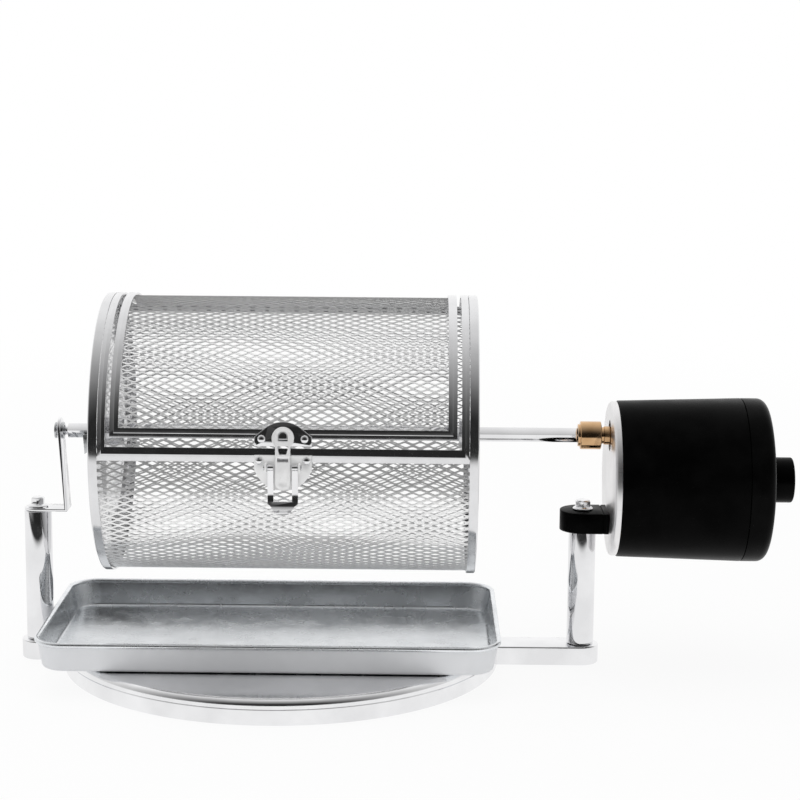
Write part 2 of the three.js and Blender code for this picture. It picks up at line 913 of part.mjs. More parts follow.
function facePlate() {
  const edge = faceSheet / 3;
  const plate = turnedAlong(
    [
      [0, faceX],
      [faceRadius - edge, faceX],
      [faceRadius, faceX + edge],
      [faceRadius, faceInnerX],
      [0, faceInnerX],
    ],
    fineSteps,
  );
  const through = (radius, y, z) =>
    pegAlong(radius, faceX - overrun, faceInnerX + overrun).translate(0, y, z);
  const armZ = armScrewHeight() - motorHeight;
  const holes = [
    pegAlong(faceHoleRadius, faceX - overrun, faceInnerX + overrun, roundSteps).translate(
      0,
      0,
      shaftDrop,
    ),
    through(smallScrewRadius + runGap, -armScrewSpacing / 2, armZ),
    through(smallScrewRadius + runGap, armScrewSpacing / 2, armZ),
  ];
  const blind = caseScrewAngles.map((angle) => {
    const [y, z] = atAngle(caseScrewPlace, angle);
    const hole = pegAlong(caseScrewRadius + pinGap, faceX + faceSheet / 2, faceInnerX + overrun);
    return hole.translate(0, y, z);
  });
  return cut(plate, ...holes, ...blind);
}

// How far out the flange of the power inlet stands, clear of the flared wall
function jackSeatY() {
  const place = jackX - housingX + jackFlangeRadius;
  return housingRadius + (housingFlare * place) / housingLength + seatGap;
}

function motorHousing() {
  const wall = housingWall;
  const tube = turnedAlong(
    [
      [housingRadius - wall, housingX],
      [housingRadius, housingX],
      [capRadius, housingEndX],
      [capRadius - wall, housingEndX],
      [housingRadius - wall, housingX],
    ],
    fineSteps,
  );
  const hole = pegUp(jackRadius + seatGap, 0, capRadius + jackFlangeRadius)
    .rotateX(-Math.PI / 2)
    .translate(jackX, 0, 0);
  return cut(tube, hole);
}

function endCap() {
  const wall = housingWall;
  const rim = [];
  const filletSteps = 2 * cornerSteps;
  for (let step = 0; step <= filletSteps; step += 1) {
    const angle = ((step / filletSteps) * Math.PI) / 2;
    const centreX = capEndX - capFillet;
    const centreR = capRadius - capFillet;
    rim.push([centreR + capFillet * Math.cos(angle), centreX + capFillet * Math.sin(angle)]);
  }
  const shell = turnedAlong(
    [
      [0, capEndX - wall],
      [capRadius - capFillet, capEndX - wall],
      [capRadius - wall, capEndX - capFillet],
      [capRadius - wall, capX],
      [capRadius, capX],
      ...rim,
      [0, capEndX],
    ],
    fineSteps,
  );
  const potHole = pegAlong(potBushRadius + runGap, capEndX - wall - overrun, capEndX + overrun);
  const screwHoles = caseScrewAngles.map((angle) => {
    const [y, z] = atAngle(caseScrewPlace, angle);
    const hole = countersink(
      caseScrewRadius,
      caseScrewHeadRadius,
      caseScrewHeadHeight,
      wall + overrun,
    );
    return hole.rotateY(-Math.PI / 2).translate(capEndX, y, z);
  });
  return cut(shell, potHole, ...screwHoles);
}

function caseScrew() {
  const length = capEndX - faceInnerX + faceSheet / 4;
  return countersunkScrew(
    caseScrewRadius,
    caseScrewHeadRadius,
    caseScrewHeadHeight,
    length,
  ).rotateY(-Math.PI / 2);
}

// The gear plate, with the idler's axle riveted in it
function gearPlate() {
  const plate = pegAlong(gearPlateRadius, gearPlateX, gearPlateEndX, fineSteps);
  const through = (radius, y, z) =>
    pegAlong(radius, gearPlateX - overrun, gearPlateEndX + overrun).translate(0, y, z);
  const screws = caseScrewAngles.map((angle) =>
    through(caseScrewRadius + runGap, ...atAngle(caseScrewPlace, angle)),
  );
  const axle = pegAlong(idlerAxleRadius, faceInnerX + seatGap, gearPlateEndX);
  return cut(
    join(plate, axle.translate(0, idlerY, idlerZ)),
    through(outputShaftRadius + runGap, 0, shaftDrop),
    through(canBossRadius + seatGap, pinionY, pinionZ),
    ...screws,
  );
}

function gearMotor() {
  const start = gearPlateEndX + seatGap;
  const end = housingEndX - canEndGap;
  const bore = motorShaftRadius + runGap;
  return turnedAlong([
    [bore, gearPlateX],
    [canBossRadius, gearPlateX],
    [canBossRadius, start],
    [canRadius - canChamfer, start],
    [canRadius, start + canChamfer],
    [canRadius, end - canChamfer],
    [canRadius - canChamfer, end],
    [0, end],
    [0, gearPlateX + shaftInCan + seatGap],
    [bore, gearPlateX + shaftInCan + seatGap],
    [bore, gearPlateX],
  ]);
}

function outputBush() {
  const bore = couplerNeckRadius + runGap;
  const outer = faceHoleRadius - pinGap;
  const start = faceX + faceSheet / 3;
  const end = start + couplerNeckInside / 2;
  return turnedAlong(
    [
      [bore, start],
      [outer, start],
      [outer, end],
      [bore, end],
      [bore, start],
    ],
    roundSteps,
  );
}

// The outline of a spur gear with involute flanks, one tooth's middle at the phase angle
function gearShape(teeth, phase) {
  const pitch = (gearModule * teeth) / 2;
  const base = pitch * Math.cos(pressureAngle);
  const tip = pitch + addendumShare * gearModule;
  const root = pitch - dedendumShare * gearModule;
  const involute = (radius) => {
    const angle = Math.acos(Math.min(1, base / radius));
    return Math.tan(angle) - angle;
  };
  const half = (toothShare * Math.PI) / teeth + involute(pitch);
  const flank = [root, Math.max(pitch, base), tip];
  const points = [];
  for (let tooth = 0; tooth < teeth; tooth += 1) {
    const middle = phase + (2 * Math.PI * tooth) / teeth;
    const rising = flank.map((radius) => [radius, middle - half + involute(radius)]);
    const falling = flank.map((radius) => [radius, middle + half - involute(radius)]).reverse();
    for (const [radius, angle] of [...rising, ...falling]) {
      points.push([radius * Math.cos(angle), radius * Math.sin(angle)]);
    }
  }
  const apart = points.filter(([x, y], index) => {
    const [lastX, lastY] = points[(index + points.length - 1) % points.length];
    return Math.hypot(x - lastX, y - lastY) > weldDistance;
  });
  return polygon(apart);
}

// The phase that puts a gap of the second gear on the tooth of the first, along the line of centres
function meshPhase(firstTeeth, firstPhase, secondTeeth, direction) {
  const share = firstTeeth / secondTeeth;
  return direction + Math.PI + Math.PI / secondTeeth + share * (direction - firstPhase);
}

const outputPhase = 0;
const idlerSmallPhase = meshPhase(wheelTeeth, outputPhase, pinionTeeth, idlerAngle);
const idlerBigPhase = 0;
const pinionPhase = meshPhase(wheelTeeth, idlerBigPhase, pinionTeeth, pinionAngle);

function idlerGear() {
  const big = prismAlong(gearShape(wheelTeeth, idlerBigPhase), bigGearX, bigGearX + gearWidth);
  const small = prismAlong(gearShape(pinionTeeth, idlerSmallPhase), smallGearX, bigGearX + gearWidth / 2);
  const bore = pegAlong(
    idlerAxleRadius + runGap,
    smallGearX - overrun,
    bigGearX + gearWidth + overrun,
  );
  return cut(join(big, small), bore);
}

function motorPinion() {
  const end = gearPlateX + shaftInCan;
  const gear = prismAlong(gearShape(pinionTeeth, pinionPhase), bigGearX, bigGearX + gearWidth);
  return join(gear, pegAlong(motorShaftRadius, bigGearX + gearWidth / 2, end));
}

function potentiometer() {
  const inner = capEndX - housingWall - seatGap;
  const bore = potShaftRadius + runGap;
  return turnedAlong(
    [
      [0, inner - potLength],
      [potRadius, inner - potLength],
      [potRadius, inner],
      [potBushRadius, inner],
      [potBushRadius, inner + potBushLength],
      [bore, inner + potBushLength],
      [bore, inner - potShaftIn],
      [0, inner - potShaftIn],
    ],
    roundSteps,
  );
}

function potShaft() {
  const start = capEndX - housingWall - potShaftIn;
  return pegAlong(potShaftRadius, start, knobX + knobLength - knobWall);
}

function speedKnob() {
  const end = knobX + knobLength;
  const body = turnedAlong(
    [
      [0, knobX],
      [knobRadius, knobX],
      [knobRadius, end - knobEdge - knobDome],
      [knobRadius - knobEdge, end - knobDome],
      [knobRadius / 2, end - knobDome / 4],
      [0, end],
    ],
    roundSteps,
  );
  const recess = pegAlong(knobRecessRadius, knobX - overrun, knobX + knobRecess, roundSteps);
  const bore = pegAlong(potShaftRadius + pinGap, knobX, end - knobWall + seatGap);
  const grips = [];
  for (let grip = 0; grip < knobGripCount; grip += 1) {
    const [y, z] = atAngle(knobRadius, (2 * Math.PI * grip) / knobGripCount);
    grips.push(
      pegAlong(knobGripDepth, knobX - overrun, end - knobEdge - knobDome, cornerSteps).translate(
        0,
        y,
        z,
      ),
    );
  }
  return cut(body, recess, bore, ...grips);
}

function controlBoard() {
  const end = capEndX - housingWall - 2 * seatGap - potLength;
  return box(end - boardSheet, end, -boardWidth / 2, boardWidth / 2, -boardHeight / 2, boardHeight / 2);
}

// The power inlet, turned about Y with its mouth outwards
function powerInlet() {
  const mouth = jackFlange;
  const bottom = jackFlange - jackBoreDepth;
  return turnedUp(
    [
      [0, -jackDepth],
      [jackRadius, -jackDepth],
      [jackRadius, 0],
      [jackFlangeRadius, 0],
      [jackFlangeRadius, mouth - jackWall],
      [jackFlangeRadius - jackWall, mouth],
      [jackBoreRadius, mouth],
      [jackBoreRadius, bottom],
      [0, bottom],
    ],
    smallSteps,
  ).rotateX(-Math.PI / 2);
}

function buildMotor() {
  const motor = new THREE.Group();
  motor.position.set(0, 0, motorHeight);
  addPiece(motor, "face_plate", facePlate(), "satinAluminium");
  addPiece(motor, "motor_housing", motorHousing(), "blackCoat");
  addPiece(motor, "end_cap", endCap(), "blackPlastic");
  addPiece(motor, "gear_plate", gearPlate(), "steel");
  caseScrewAngles.forEach((angle, index) => {
    const [y, z] = atAngle(caseScrewPlace, angle);
    addPiece(motor, `case_screw_${index + 1}`, caseScrew(), "steel").position.set(capEndX, y, z);
  });
  standoffAngles.forEach((angle, index) => {
    const [y, z] = atAngle(standoffPlace, angle);
    const rod = pegAlong(standoffRadius, faceInnerX + seatGap, gearPlateX - seatGap);
    addPiece(motor, `standoff_${index + 1}`, rod, "brass").position.set(0, y, z);
  });
  addPiece(motor, "gear_motor", gearMotor(), "steel").position.set(0, pinionY, pinionZ);
  addPiece(motor, "output_bush", outputBush(), "blackPlastic").position.set(0, 0, shaftDrop);
  addPiece(motor, "idler_gear", idlerGear(), "gearPlastic").position.set(0, idlerY, idlerZ);
  addPiece(motor, "motor_pinion", motorPinion(), "brass").position.set(0, pinionY, pinionZ);
  addPiece(motor, "control_board", controlBoard(), "boardGreen");
  addPiece(motor, "potentiometer", potentiometer(), "steel");
  addPiece(motor, "pot_shaft", potShaft(), "steel");
  addPiece(motor, "speed_knob", speedKnob(), "blackPlastic");
  const inlet = addPiece(motor, "power_inlet", powerInlet(), "greyPlastic");
  inlet.position.set(jackX, jackSeatY(), 0);
  return motor;
}

// Drum, drawn about its own axis

function rodSquare(side) {
  const half = side / 2;
  const corners = [[half, half], [-half, half], [-half, -half], [half, -half]];
  const cos = Math.cos(rodTurn);
  const sin = Math.sin(rodTurn);
  return polygon(corners.map(([y, z]) => [y * cos - z * sin, y * sin + z * cos]));
}

const rodEndX = drumEnd + couplerStart + rodInCoupler;
const stopX = -(drumEnd + stopPinOut);

function driveRod() {
  const square = prismAlong(rodSquare(rodSide), -(drumEnd + rodStart), rodEndX);
  const journal = pegAlong(journalRadius, -(drumEnd + journalEnd), -(drumEnd + rodStart) + overrun);
  const pinHole = pegUp(stopPinRadius + pinGap, -rodSide, pinGap).translate(stopX, 0, 0);
  return cut(join(square, journal), pinHole);
}

function rodClip() {
  const start = legTopX - bracketSheet - legSlope * clipRadius - seatGap - clipSheet;
  const bore = journalRadius + pinGap;
  return turnedAlong(
    [
      [bore, start],
      [clipRadius, start],
      [clipRadius, start + clipSheet],
      [bore, start + clipSheet],
      [bore, start],
    ],
    smallSteps,
  );
}

// A tab that straddles the rod from below, with a pin that goes up into it
function stopTab() {
  const half = stopTabWidth / 2;
  const outline = polygon([
    [-half, stopTabTop],
    [-half + stopTabSlant / 2, stopTabEnd],
    [half - stopTabSlant / 2, stopTabEnd + stopTabSlant],
    [half, stopTabTop],
  ]);
  const block = prismFront(outline, stopTabDepth / 2, -stopTabDepth / 2);
  const notch = prismAlong(rodSquare(rodSide + 2 * seatGap), -stopTabWidth, stopTabWidth);
  const pin = pegUp(stopPinRadius, stopTabTop - rodSide, 0);
  return join(cut(block, notch), pin).translate(stopX, 0, 0);
}

function drumCap() {
  const inner = drumEnd - capSheet;
  const ribInner = capRibRadius - capRibWidth;
  const ribMiddle = capRibRadius - capRibWidth / 2;
  return cut(
    turnedAlong(
      [
        [0, inner - hubLength],
        [hubRadius, inner - hubLength],
        [hubRadius, inner],
        [ribInner, inner],
        [ribMiddle, inner - capRibDepth],
        [capRibRadius, inner],
        [drumRadius - capSheet, inner],
        [drumRadius - capSheet, drumEnd - capSkirt],
        [drumRadius, drumEnd - capSkirt],
        [drumRadius, drumEnd - capEdge],
        [drumRadius - capEdge, drumEnd],
        [capRibRadius, drumEnd],
        [ribMiddle, drumEnd - capRibDepth],
        [ribInner, drumEnd],
        [0, drumEnd],
      ],
      fineSteps,
    ),
    prismAlong(rodSquare(rodSide + 2 * pinGap), inner - hubLength - overrun, drumEnd + overrun),
  );
}

function leftDrumCap() {
  const blank = drumCap().rotateZ(Math.PI);
  const square = rodSquare(rodSide + 2 * pinGap);
  const plug = pegAlong(hubRadius, -drumEnd, -(drumEnd - capSheet - hubLength), roundSteps);
  return cut(join(blank, plug), prismAlong(square, -drumEnd - overrun, -drumEnd / 2));
}

function radialPeg(radius, fromRadius, toRadius, x, z) {
  const seat = Math.asin(z / plateSeat);
  const peg = pegUp(radius, fromRadius, toRadius);
  return layOnDrum(peg.translate(x, 0, 0), 0, seat);
}

function bodyMesh() {
  const turn = 2 * Math.PI;
  const from = backBarFrom - turn;
  const openFrom = backBarTo - turn;
  return drumNet(from, bodyMeshEdge, openFrom, bodyBarFrom, bodyNetAround, meshEnd, bodyBandInnerX);
}

function openingFrame() {
  const arcs = [-1, 1].map((side) => {
    const ends = [side * bodyBandInnerX, side * bodyBandOuterX].sort((a, b) => a - b);
    return arcStrip(bandInner, bandOuter, bodyBarFrom, backBarTo, ...ends);
  });
  const front = arcStrip(
    bandInner,
    bandOuter,
    bodyBarFrom,
    bodyBarTo,
    -bodyBandOuterX,
    bodyBandOuterX,
  );
  const back = arcStrip(
    bandInner,
    bandOuter,
    backBarFrom,
    backBarTo,
    -bodyBandOuterX,
    bodyBandOuterX,
  );
  const holes = [-1, 1].map((side) =>
    radialPeg(rivetRadius + pinGap, meshOuter, plateSeat, side * baseRivetX, baseRivetZ),
  );
  return cut(join(...arcs, front, back), ...holes);
}

function doorMesh() {
  const openHalf = doorEnd - doorBandWidth;
  return drumNet(doorBarFrom, doorBackTo, doorBarTo, doorBackFrom, doorNetAround, doorEnd, openHalf);
}

function doorFrame() {
  const arcs = [-1, 1].map((side) => {
    const ends = [side * (doorEnd - doorBandWidth), side * doorEnd].sort((a, b) => a - b);
    return arcStrip(bandInner, bandOuter, doorBarFrom, doorBackTo, ...ends);
  });
  const front = arcStrip(bandInner, bandOuter, doorBarFrom, doorBarTo, -doorEnd, doorEnd);
  const back = arcStrip(bandInner, bandOuter, doorBackFrom, doorBackTo, -doorEnd, doorEnd);
  const holes = [-1, 1].map((side) =>
    radialPeg(rivetRadius + pinGap, meshOuter, plateSeat, side * catchRivetX, catchRivetZ),
  );
  return cut(join(...arcs, front, back), ...holes);
}

// Door hinges: a leaf with its knuckles, drawn flat about the pin

function hingeLeaf(direction, knuckles) {
  const seat = -knuckleRadius;
  const near = knuckleRadius + leafClear;
  const sides = [direction * near, direction * leafReach].sort((a, b) => a - b);
  const half = hingeLength / 2;
  const plate = box(-half, half, ...sides, seat, seat + leafSheet);
  const tabs = knuckles.map(([from, to]) => {
    const reach = [0, direction * (near + leafClear)].sort((a, b) => a - b);
    return box(from, to, ...reach, seat, seat + leafSheet);
  });
  const barrels = knuckles.map(([from, to]) => pegAlong(knuckleRadius, from, to));
  const bore = pegAlong(hingePinRadius + pinGap, -half - overrun, half + overrun);
  return cut(join(plate, ...tabs, ...barrels), bore);
}

function hingePieces() {
  const half = hingeLength / 2;
  const doorHalf = (doorKnuckleShare * hingeLength) / 2;
  const gap = doorHalf + seatGap;
  return {
    body: hingeLeaf(1, [[-half, -gap], [gap, half]]),
    door: hingeLeaf(-1, [[-doorHalf, doorHalf]]),
    pin: pegAlong(hingePinRadius, -half, half),
  };
}

function onHinge(geometry, side) {
  const placed = geometry.translate(side * (drumEnd - hingeFromEnd), 0, 0);
  return layOnDrum(placed, hingeOut, hingeAngle);
}

// Latch: a catch on the door, a link over it, and a lever on a base plate

// A plate with straight sides, its straight edge on the x axis, and a bowed end, which can be narrower
function bowedPlate(width, side, height, crown = width, shoulder = side) {
  const bow = height - shoulder;
  const radius = ((crown * crown) / 4 + bow * bow) / (2 * bow);
  const start = Math.asin((shoulder - height + radius) / radius);
  const shape = new THREE.Shape();
  shape.moveTo(-width / 2, 0);
  shape.lineTo(width / 2, 0);
  shape.lineTo(width / 2, side);
  shape.absarc(0, height - radius, radius, start, Math.PI - start, false);
  if (crown < width) shape.lineTo(-width / 2, side);
  shape.closePath();
  return shape;
}

// A window with a flat foot and a round head, its middle at a height
function archShape(width, height, middle) {
  const half = width / 2;
  const foot = middle - height / 2;
  const shape = new THREE.Shape();
  shape.moveTo(-half, foot);
  shape.lineTo(half, foot);
  shape.absarc(0, foot + height - half, half, 0, Math.PI, false);
  shape.closePath();
  return shape;
}

const catchAngle = Math.asin(catchMiddle / plateSeat);
const baseAngle = Math.asin(baseTangent / plateSeat);
const plateOuter = plateSeat + latchSheet;

function catchPlate() {
  const outline = bowedPlate(latchWidth, catchSide, catchHeight, catchCrown, catchShoulder);
  const plate = prismUp(outline, 0, latchSheet);
  const holes = [-1, 1].map((side) =>
    radialPeg(
      rivetRadius + pinGap,
      meshOuter,
      plateOuter + overrun,
      side * catchRivetX,
      catchRivetZ,
    ),
  );
  const hook = archShape(
    hookHoleWidth - 2 * runGap,
    hookHoleHeight - 4 * runGap,
    hookHoleZ - catchMiddle,
  );
  const stub = prismUp(hook, 0, latchSheet + seatGap + linkSheet);
  const whole = join(plate.translate(0, -catchHeight / 2, 0), stub);
  return cut(layOnDrum(whole, plateSeat, catchAngle), ...holes);
}

const leverPivotY = -(plateOuter + leverPivotOut - latchSheet);

function latchBase() {
  const outline = bowedPlate(latchWidth, baseSide, baseHeight);
  const plate = prismUp(outline, -latchSheet, 0).rotateX(Math.PI);
  const laid = layOnDrum(plate.translate(0, baseTop - baseTangent, 0), plateSeat, baseAngle);
  const lugs = [-1, 1].map((side) => {
    const near = leverArmOuter + seatGap;
    const ends = [side * near, side * (near + lugSheet)].sort((a, b) => a - b);
    const frontY = leverPivotY - lugHalfHeight;
    const foot = leverPivotZ - lugHalfHeight;
    return box(...ends, frontY, -plateSeat - latchSheet / 2, foot, leverPivotZ + lugHalfHeight);
  });
  const pinHole = pegAlong(leverPinRadius + pinGap, -latchWidth, latchWidth);
  const holes = [-1, 1].map((side) =>
    radialPeg(rivetRadius + pinGap, meshOuter, plateOuter + overrun, side * baseRivetX, baseRivetZ),
  );
  return cut(
    join(laid, ...lugs),
    pinHole.translate(0, leverPivotY, leverPivotZ),
    ...holes,
  );
}

// A rivet through a latch plate and the bar under it
function placedRivet(x, z, tangentAngle) {
  const seat = Math.asin(z / plateSeat);
  const headSeat = plateOuter / Math.cos(seat - tangentAngle) + pinGap;
  const piece = rivet(headSeat - bandInner - pinGap).translate(x, 0, headSeat);
  return layOnDrum(piece, 0, seat);
}

function leverPin(side) {
  const start = leverArmInner + pinGap;
  const seat = leverArmOuter + seatGap + lugSheet + pinGap;
  const pin = turnedAlong(
    [
      [0, start],
      [leverPinRadius, start],
      [leverPinRadius, seat],
      [leverPinHead, seat],
      [leverPinHead, seat + leverPinHeadHeight],
      [0, seat + leverPinHeadHeight],
    ],
    smallSteps,
  );
  if (side < 0) pin.rotateZ(Math.PI);
  return pin.translate(0, leverPivotY, leverPivotZ);
}

function latchLever() {
  const eyeY = leverPivotY;
  const armEndY = eyeY + leverSheet;
  const line = [
    [eyeY, leverPivotZ],
    [armEndY, (leverPivotZ + 3 * leverArmEnd) / 4],
    [armEndY, leverArmEnd],
    [armEndY - leverLipOut / 4, (leverArmEnd + leverEnd) / 2],
    [armEndY - (3 * leverLipOut) / 4, leverEnd + leverSheet],
    [armEndY - leverLipOut, leverEnd + leverSheet / 2],
  ];
  const strip = prismAlong(sheetShape(line, leverSheet), -leverArmOuter, leverArmOuter);
  const outline = new THREE.Shape();
  const lipHalf = (leverArmInner + leverArmOuter) / 2;
  const lipFoot = leverEnd - leverSheet;
  outline.moveTo(-leverArmOuter, leverPivotZ + leverEyeRadius);
  outline.lineTo(-leverArmOuter, leverArmEnd - leverSheet);
  outline.lineTo(-lipHalf, leverArmEnd - 2 * leverSheet);
  outline.quadraticCurveTo(-lipHalf / 2, lipFoot, 0, lipFoot);
  outline.quadraticCurveTo(lipHalf / 2, lipFoot, lipHalf, leverArmEnd - 2 * leverSheet);
  outline.lineTo(leverArmOuter, leverArmEnd - leverSheet);
  outline.lineTo(leverArmOuter, leverPivotZ + leverEyeRadius);
  outline.closePath();
  const trimmed = common(strip, prismFront(outline, -drumRadius / 2, -2 * drumRadius));
  const slotTop = leverPivotZ + leverEyeRadius + overrun;
  const slot = box(
    -leverArmInner,
    leverArmInner,
    -2 * drumRadius,
    -drumRadius / 2,
    leverArmEnd,
    slotTop,
  );
  const eyes = [-1, 1].map((side) => {
    const ends = [side * leverArmInner, side * leverArmOuter].sort((a, b) => a - b);
    return pegAlong(leverEyeRadius, ...ends).translate(0, eyeY, leverPivotZ);
  });
  const bore = pegAlong(leverPinRadius + pinGap, -latchWidth, latchWidth);
  return cut(join(cut(trimmed, slot), ...eyes), bore.translate(0, eyeY, leverPivotZ));
}

function latchLink() {
  const headOut = plateOuter + seatGap + linkSheet / 2;
  const tiltAt = (z) => {
    const along = (z - headOut * Math.sin(catchAngle)) / Math.cos(catchAngle);
    return -headOut * Math.cos(catchAngle) + along * Math.sin(catchAngle);
  };
  const flatY = -(plateOuter + 2 * seatGap + linkSheet);
  const top = linkHeadZ + linkHeadRadius;
  const line = [
    [tiltAt(top + overrun), top + overrun],
    [tiltAt(linkFoldZ), linkFoldZ],
    [flatY, linkJogZ],
    [flatY, linkEnd - overrun],
  ];
  const strip = prismAlong(sheetShape(line, linkSheet), -linkHeadRadius, linkHeadRadius);
  const far = -drumRadius / 2;
  const near = -2 * drumRadius;
  const half = linkWidth / 2;
  const tongue = new THREE.Shape();
  tongue.moveTo(half, linkHeadZ);
  tongue.lineTo(-half, linkHeadZ);
  tongue.absarc(0, linkEnd + half, half, Math.PI, 2 * Math.PI, false);
  tongue.closePath();
  const outline = join(
    prismFront(circle(0, linkHeadZ, linkHeadRadius), far, near),
    prismFront(tongue, far, near),
  );
  const neckHole = polygon([
    [-neckHoleWide / 2, neckHoleTop],
    [-neckHoleNarrow / 2, neckHoleBottom],
    [neckHoleNarrow / 2, neckHoleBottom],
    [neckHoleWide / 2, neckHoleTop],
  ]);
  const slot = box(-slotWidth / 2, slotWidth / 2, near, far, -slotHeight / 2, slotHeight / 2);
  return cut(
    common(strip, outline),
    prismFront(archShape(hookHoleWidth, hookHoleHeight, hookHoleZ), far, near),
    prismFront(neckHole, far, near),
    slot,
  );
}

// Brass coupler on the rod's end, with a neck that runs into the motor's face

function coupler() {
  const start = drumEnd + couplerStart;
  const end = start + couplerLength;
  const neckEnd = faceX + couplerNeckInside;
  const bore = outputShaftRadius + pinGap;
  const body = turnedAlong([
    [0, start],
    [couplerCollarRadius, start],
    [couplerCollarRadius, start + couplerCollar],
    [couplerRadius - couplerChamfer / 2, start + couplerCollar],
    [couplerRadius, start + couplerCollar + couplerChamfer / 2],
    [couplerRadius, end - couplerChamfer],
    [couplerRadius - couplerChamfer, end],
    [couplerNeckRadius, end],
    [couplerNeckRadius, neckEnd],
    [bore, neckEnd],
    [bore, faceX],
    [0, faceX],
  ]);
  const socket = prismAlong(
    rodSquare(rodSide + 2 * pinGap),
    start - overrun,
    rodEndX + seatGap,
  );
  const grubHole = pegUp(grubRadius, -couplerRadius - overrun, 0).translate(
    start + rodInCoupler / 2,
    0,
    0,
  );
  return cut(body, socket, grubHole);
}

function outputGear() {
  const gear = prismAlong(gearShape(wheelTeeth, outputPhase), smallGearX, smallGearX + gearWidth);
  return join(gear, pegAlong(outputShaftRadius, faceX + seatGap, gearPlateEndX));
}

function buildDrum() {
  const drum = new THREE.Group();
  drum.position.set(0, 0, axisHeight);
  addPiece(drum, "drive_rod", driveRod(), "chrome");
  addPiece(drum, "rod_clip", rodClip(), "steel");
  addPiece(drum, "stop_tab", stopTab(), "steel");
  addPiece(drum, "left_drum_cap", leftDrumCap(), "brushed");
  addPiece(drum, "right_drum_cap", drumCap(), "brushed");
  addPiece(drum, "drum_mesh", bodyMesh(), "stainless");
  addPiece(drum, "opening_frame", openingFrame(), "brushed");
  addPiece(drum, "door_mesh", doorMesh(), "stainless");
  addPiece(drum, "door_frame", doorFrame(), "brushed");
  [-1, 1].forEach((side) => {
    const label = side < 0 ? "left" : "right";
    const hinge = hingePieces();
    addPiece(drum, `${label}_body_leaf`, onHinge(hinge.body, side), "stainless");
    addPiece(drum, `${label}_door_leaf`, onHinge(hinge.door, side), "stainless");
    addPiece(drum, `${label}_hinge_pin`, onHinge(hinge.pin, side), "steel");
    const catchRivet = placedRivet(side * catchRivetX, catchRivetZ, catchAngle);
    addPiece(drum, `${label}_catch_rivet`, catchRivet, "chrome");
    const baseRivet = placedRivet(side * baseRivetX, baseRivetZ, baseAngle);
    addPiece(drum, `${label}_base_rivet`, baseRivet, "chrome");
    addPiece(drum, `${label}_lever_pin`, leverPin(side), "chrome");
  });
  addPiece(drum, "catch_plate", catchPlate(), "chrome");
  addPiece(drum, "latch_base", latchBase(), "chrome");
  addPiece(drum, "latch_lever", latchLever(), "chrome");
  addPiece(drum, "latch_link", latchLink(), "chrome");
  addPiece(drum, "coupler", coupler(), "brass");
  addPiece(drum, "output_gear", outputGear(), "gearPlastic");
  return drum;
}

// Tray: flared walls, round corners and a rolled rim

function trayPan() {
  const halfX = trayLength / 2;
  const halfY = trayDepth / 2;
  const ring = (inset, z) => ({
    halfX: halfX - inset,
    halfY: halfY - inset,
    corner: Math.max(trayCorner - inset / 2, trayBead),
    z,
  });
  const beadZ = trayFloor + trayHeight - trayBead;
  const wallIn = trayBead + traySheet / 2;
  const footIn = wallIn + trayFlare;
  const bead = [];
  for (let step = 0; step <= 2 * cornerSteps; step += 1) {
    const angle = trayBeadFrom + (step / (2 * cornerSteps)) * trayBeadTurn;
    bead.push(ring(trayBead - trayBead * Math.cos(angle), beadZ + trayBead * Math.sin(angle)));
  }
  return ringShell([
    ring(footIn + trayFloorRound, trayFloor),
    ring(footIn + trayFloorRound / 3, trayFloor + trayFloorRound / 3),
    ring(footIn, trayFloor + trayFloorRound),
    ring(wallIn - traySheet / 2, beadZ - trayBead - traySheet / 2),
    ...bead,
    ring(wallIn + traySheet, beadZ - trayBead - traySheet / 2),
    ring(footIn + traySheet, trayFloor + trayFloorRound),
    ring(footIn + traySheet + trayFloorRound / 3, trayFloor + traySheet + trayFloorRound / 4),
    ring(footIn + traySheet + trayFloorRound, trayFloor + traySheet),
  ]);
}

function buildTray() {
  const group = new THREE.Group();
  addPiece(group, "tray", trayPan(), "trayGrey").position.set(trayCentreX, trayCentreY, 0);
  return group;
}

const roaster = new THREE.Group();
roaster.add(
  buildBase(),
  buildLeftBracket(),
  buildMotorArm(),
  buildMotor(),
  buildDrum(),
  buildTray(),
);

export default roaster;
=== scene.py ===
"""The looks of a small electric coffee roaster: a mesh drum with a latched door, turned by a geared motor,
over a pan on a round base. Metres, +Z up, +X along the drum towards the motor, -Y towards the user."""

import json
from contextlib import contextmanager
from math import cos, pi, radians, sin, sqrt

import bpy
from mathutils import Matrix, Vector


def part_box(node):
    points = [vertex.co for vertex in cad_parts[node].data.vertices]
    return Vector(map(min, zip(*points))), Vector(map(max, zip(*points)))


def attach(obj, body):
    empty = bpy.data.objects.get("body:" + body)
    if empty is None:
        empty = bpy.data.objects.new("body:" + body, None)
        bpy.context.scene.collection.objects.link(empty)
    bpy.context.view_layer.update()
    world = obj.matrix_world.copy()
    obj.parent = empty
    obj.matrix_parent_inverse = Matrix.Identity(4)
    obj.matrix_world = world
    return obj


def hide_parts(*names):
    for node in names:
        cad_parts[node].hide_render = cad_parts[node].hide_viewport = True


MM = 0.001
MERGE = 0.001 * MM  # corners this close become one
NEAR = 0.01 * MM  # how close to a line a corner is taken as on it

# The photograph's camera, in its 800 by 800 frame
PHOTO_SIDE = 800
FOCAL_PIXELS = 2045.9
SENSOR_WIDTH = 36.0
CAMERA_PLACE = Vector((68.1, -1090.7, 326.3)) * MM
CAMERA_TURN = -0.009
CAMERA_DIP = 0.165
CAMERA_ROLL = 0.008

